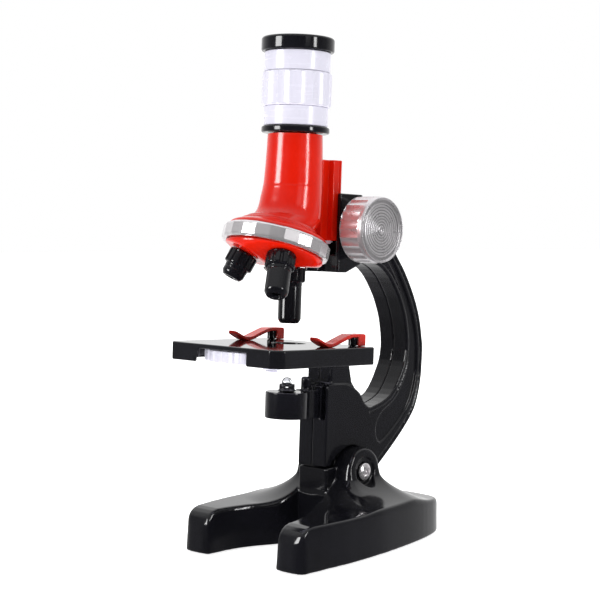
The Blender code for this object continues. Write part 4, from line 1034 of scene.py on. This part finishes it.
def make_turret():
    ring = [(20.9, -38.4), (22.2, -38.4, 0.4), (23.2, -37.7, 0.5), (23.2, -32.6, 0.5),
            (22.5, -31.9, 0.3), (21.8, -31.9), (21.8, -33.0), (20.9, -33.0)]
    turned("silver_band", "turret_ring", ring, TURRET, SILVER, 0.2, RING_FACETS * 8,
           facet_wave(RING_FACETS, 22.0), ring=True, sharp=13)
    moulding("turret_dome", "turret_cone", cone_field, (-21.3, -21.3, -47.2), (21.3, 21.3, -32.1),
             0.42, TURRET, RED)
    for name, index, tip in (("long", 0, 67.75), ("mid", 2, 63.0), ("short", 1, 55.5)):
        profile = [(2.9, 39.0), (3.9, 39.0), (3.9, 43.7), (5.8, 43.7, 0.2), (6.4, 44.3, 0.3),
                   (6.4, 49.5, 0.4), (5.9, 50.1, 0.3), (5.1, 50.3, 0.3), (5.05, 51.6, 0.1),
                   (4.9, 51.8, 0.1), (5.0, 52.1, 0.1), (5.0, tip - 1.7, 0.5), (3.9, tip, 0.3),
                   (2.7, tip, 0.2), (2.5, tip - 0.9), (2.0, tip - 1.0), (2.0, tip - 1.7),
                   (2.9, tip - 2.2)]
        profile = profile[::-1]
        turned("objective_body_" + name, "objective_" + name, profile, TURRET, BLACK, 0.2, 192,
               grip(12, 0.6, 43.9, 49.9, 5.7), ((0, 0, 0), way_of(index)), ring=True)
        lens = [(0.1, tip - 3.4), (2.4, tip - 3.4), (2.4, tip - 2.4), (1.9, tip - 2.15),
                (1.0, tip - 2.0), (0.1, tip - 1.95)]
        turned("objective_glass_" + name, "lens_" + name, lens, TURRET, GLASS, 0.1, 48,
               axis=((0, 0, 0), way_of(index)))


# --- camera, light, floor
TURN, PITCH, ROLL = (math.radians(angle) for angle in (42.147, -4.321, -0.271))
CAMERA_AWAY, CAMERA_HEIGHT, CAMERA_ACROSS = 656.12, 158.85, 6.93
LENS, SENSOR = 92.0526, 36.0     # focal length and sensor width, in mm
RIGHT = Vector((math.cos(TURN), math.sin(TURN), 0))
AHEAD = Vector((-math.sin(TURN), math.cos(TURN), 0))
ROOM_FRONT, ROOM_SIDE, ROOM_BACK, ROOM_ABOVE = 0.05, 0.22, 1.0, 0.9    # the room's brightness
FLOOR_GLOW, PAPER = 0.85, (1, 1, 1)
MIDDLE = Vector((0, 0, 0.11))
# Panels: angle from the camera, distance, rise above the middle, width, height, glow
STRIPS = {"left_strip": (-63, 0.75, 0.16, 0.26, 0.38, 17.0),
          "right_strip": (54, 0.80, 0.16, 0.12, 0.38, 17.0),
          "front_patch": (31, 0.80, 0.31, 0.24, 0.16, 1.1)}
FILLS = {"left_fill": (-45, 0.80, 0.15, 0.6, 0.6, 1.2),
         "right_fill": (35, 0.80, 0.15, 0.6, 0.6, 0.36),
         "top_fill": (180, 0.15, 0.85, 0.9, 0.9, 1.2),
         "rear_fill": (180, 1.0, 0.45, 1.0, 0.5, 0.85)}


def make_camera():
    ahead = AHEAD * math.cos(PITCH) + Vector((0, 0, math.sin(PITCH)))
    up = RIGHT.cross(ahead)
    place = RIGHT * CAMERA_ACROSS - AHEAD * CAMERA_AWAY + Vector((0, SHIFT_Y, CAMERA_HEIGHT))
    level = RIGHT * math.cos(ROLL) + up * math.sin(ROLL)
    upright = up * math.cos(ROLL) - RIGHT * math.sin(ROLL)
    data = bpy.data.cameras.new("camera")
    data.sensor_width = SENSOR
    data.lens = LENS
    data.clip_start = 0.01
    camera = bpy.data.objects.new("camera", data)
    rotation = Matrix((level, upright, -ahead)).transposed().to_4x4()
    camera.matrix_world = Matrix.Translation(place * MM) @ rotation
    bpy.context.scene.collection.objects.link(camera)
    bpy.context.scene.camera = camera


def make_panel(name, angle, distance, rise, width, height, glow, mirrored):
    """Light panel: a mirrored one only shows in reflections, any other only lights."""
    data = bpy.data.lights.new(name, "AREA")
    data.shape = "RECTANGLE"
    data.size, data.size_y = width, height
    data.energy = glow * math.pi * width * height
    light = bpy.data.objects.new(name, data)
    turn = math.radians(angle)
    way = RIGHT * math.sin(turn) - AHEAD * math.cos(turn)
    offset = way * distance + Vector((0, 0, rise))
    light.location = MIDDLE + offset
    light.rotation_euler = (-offset).to_track_quat("-Z", "Y").to_euler()
    light.visible_glossy = mirrored
    light.visible_diffuse = not mirrored
    bpy.context.scene.collection.objects.link(light)


def make_world():
    """Room that is dark at the front and bright at the back; the camera sees plain white."""
    world = bpy.data.worlds.new("studio")
    bpy.context.scene.world = world
    nodes = Nodes(world)
    room, output = nodes.tree.nodes["Background"], nodes.tree.nodes["World Output"]
    direction = nodes.add("TexCoord", {}, "Generated")
    away = nodes.vector("DOT_PRODUCT", direction, AHEAD, "Value")
    level = nodes.math("ADD", nodes.spread(away, -0.5, 0.0, ROOM_FRONT, ROOM_SIDE),
                       nodes.spread(away, 0.15, 0.9, 0, ROOM_BACK - ROOM_SIDE))
    height = nodes.add("SeparateXYZ", {0: direction}, "Z")
    above = nodes.spread(height, 0.35, 1.0, 0, ROOM_ABOVE)
    nodes.feed(room.inputs["Strength"], nodes.math("ADD", level, above))
    nodes.feed(room.inputs["Color"], PAPER)
    paper = nodes.add("Background", {"Color": PAPER, "Strength": 1.0})
    seen = nodes.add("LightPath", {}, "Is Camera Ray")
    shown = nodes.add("MixShader", {0: seen, 1: room.outputs[0], 2: paper})
    nodes.feed(output.inputs["Surface"], shown)


def make_floor():
    mesh = bpy.data.meshes.new("floor")
    count, reach, depth = 96, 3.0, -0.0003
    corners = [2 * math.pi * i / count for i in range(count)]
    points = [(reach * math.cos(a), reach * math.sin(a), depth) for a in corners]
    faces = [(0, i + 1, (i + 1) % count + 1) for i in range(count)]
    mesh.from_pydata([(0, 0, depth)] + points, [], faces)
    paint, nodes, shader = material_base("pale_floor", (0.92, 0.92, 0.92), 0.9)
    fibre = nodes.noise(nodes.place(), 40, 4)
    tone = nodes.mixed(fibre, (0.92, 0.92, 0.92), (0.90, 0.90, 0.90))
    nodes.feed(shader["Base Color"], tone)
    nodes.feed(shader["Emission Color"], PAPER)
    shader["Emission Strength"].default_value = FLOOR_GLOW
    shader["Specular IOR Level"].default_value = 0.1
    mesh.materials.append(paint)
    floor = bpy.data.objects.new("floor", mesh)
    floor.visible_glossy = False
    bpy.context.scene.collection.objects.link(floor)


def make_studio():
    make_world()
    make_floor()
    for panels, mirrored in ((STRIPS, True), (FILLS, False)):
        for name, numbers in panels.items():
            make_panel(name, *numbers, mirrored)
    bpy.context.scene.view_settings.view_transform = "Standard"
    bpy.context.scene.view_settings.look = "None"


make_camera()
make_studio()
make_base()
make_fasteners()
make_arm()
make_housing()
make_stage()
make_lamp()
make_drive()
make_tube()
make_eyepiece()
make_turret()

# CAD pieces that keep their own mesh and only get a material
PLAIN_NODES = {"focus_shaft": PLATED, "rack": WHITE, "pinion": WHITE, "contact_bridge": PLATED,
               "contact_plus": PLATED, "contact_minus": PLATED}
for node, material in PLAIN_NODES.items():
    materials = frame["nodes"][node].data.materials
    materials.clear()
    materials.append(material)
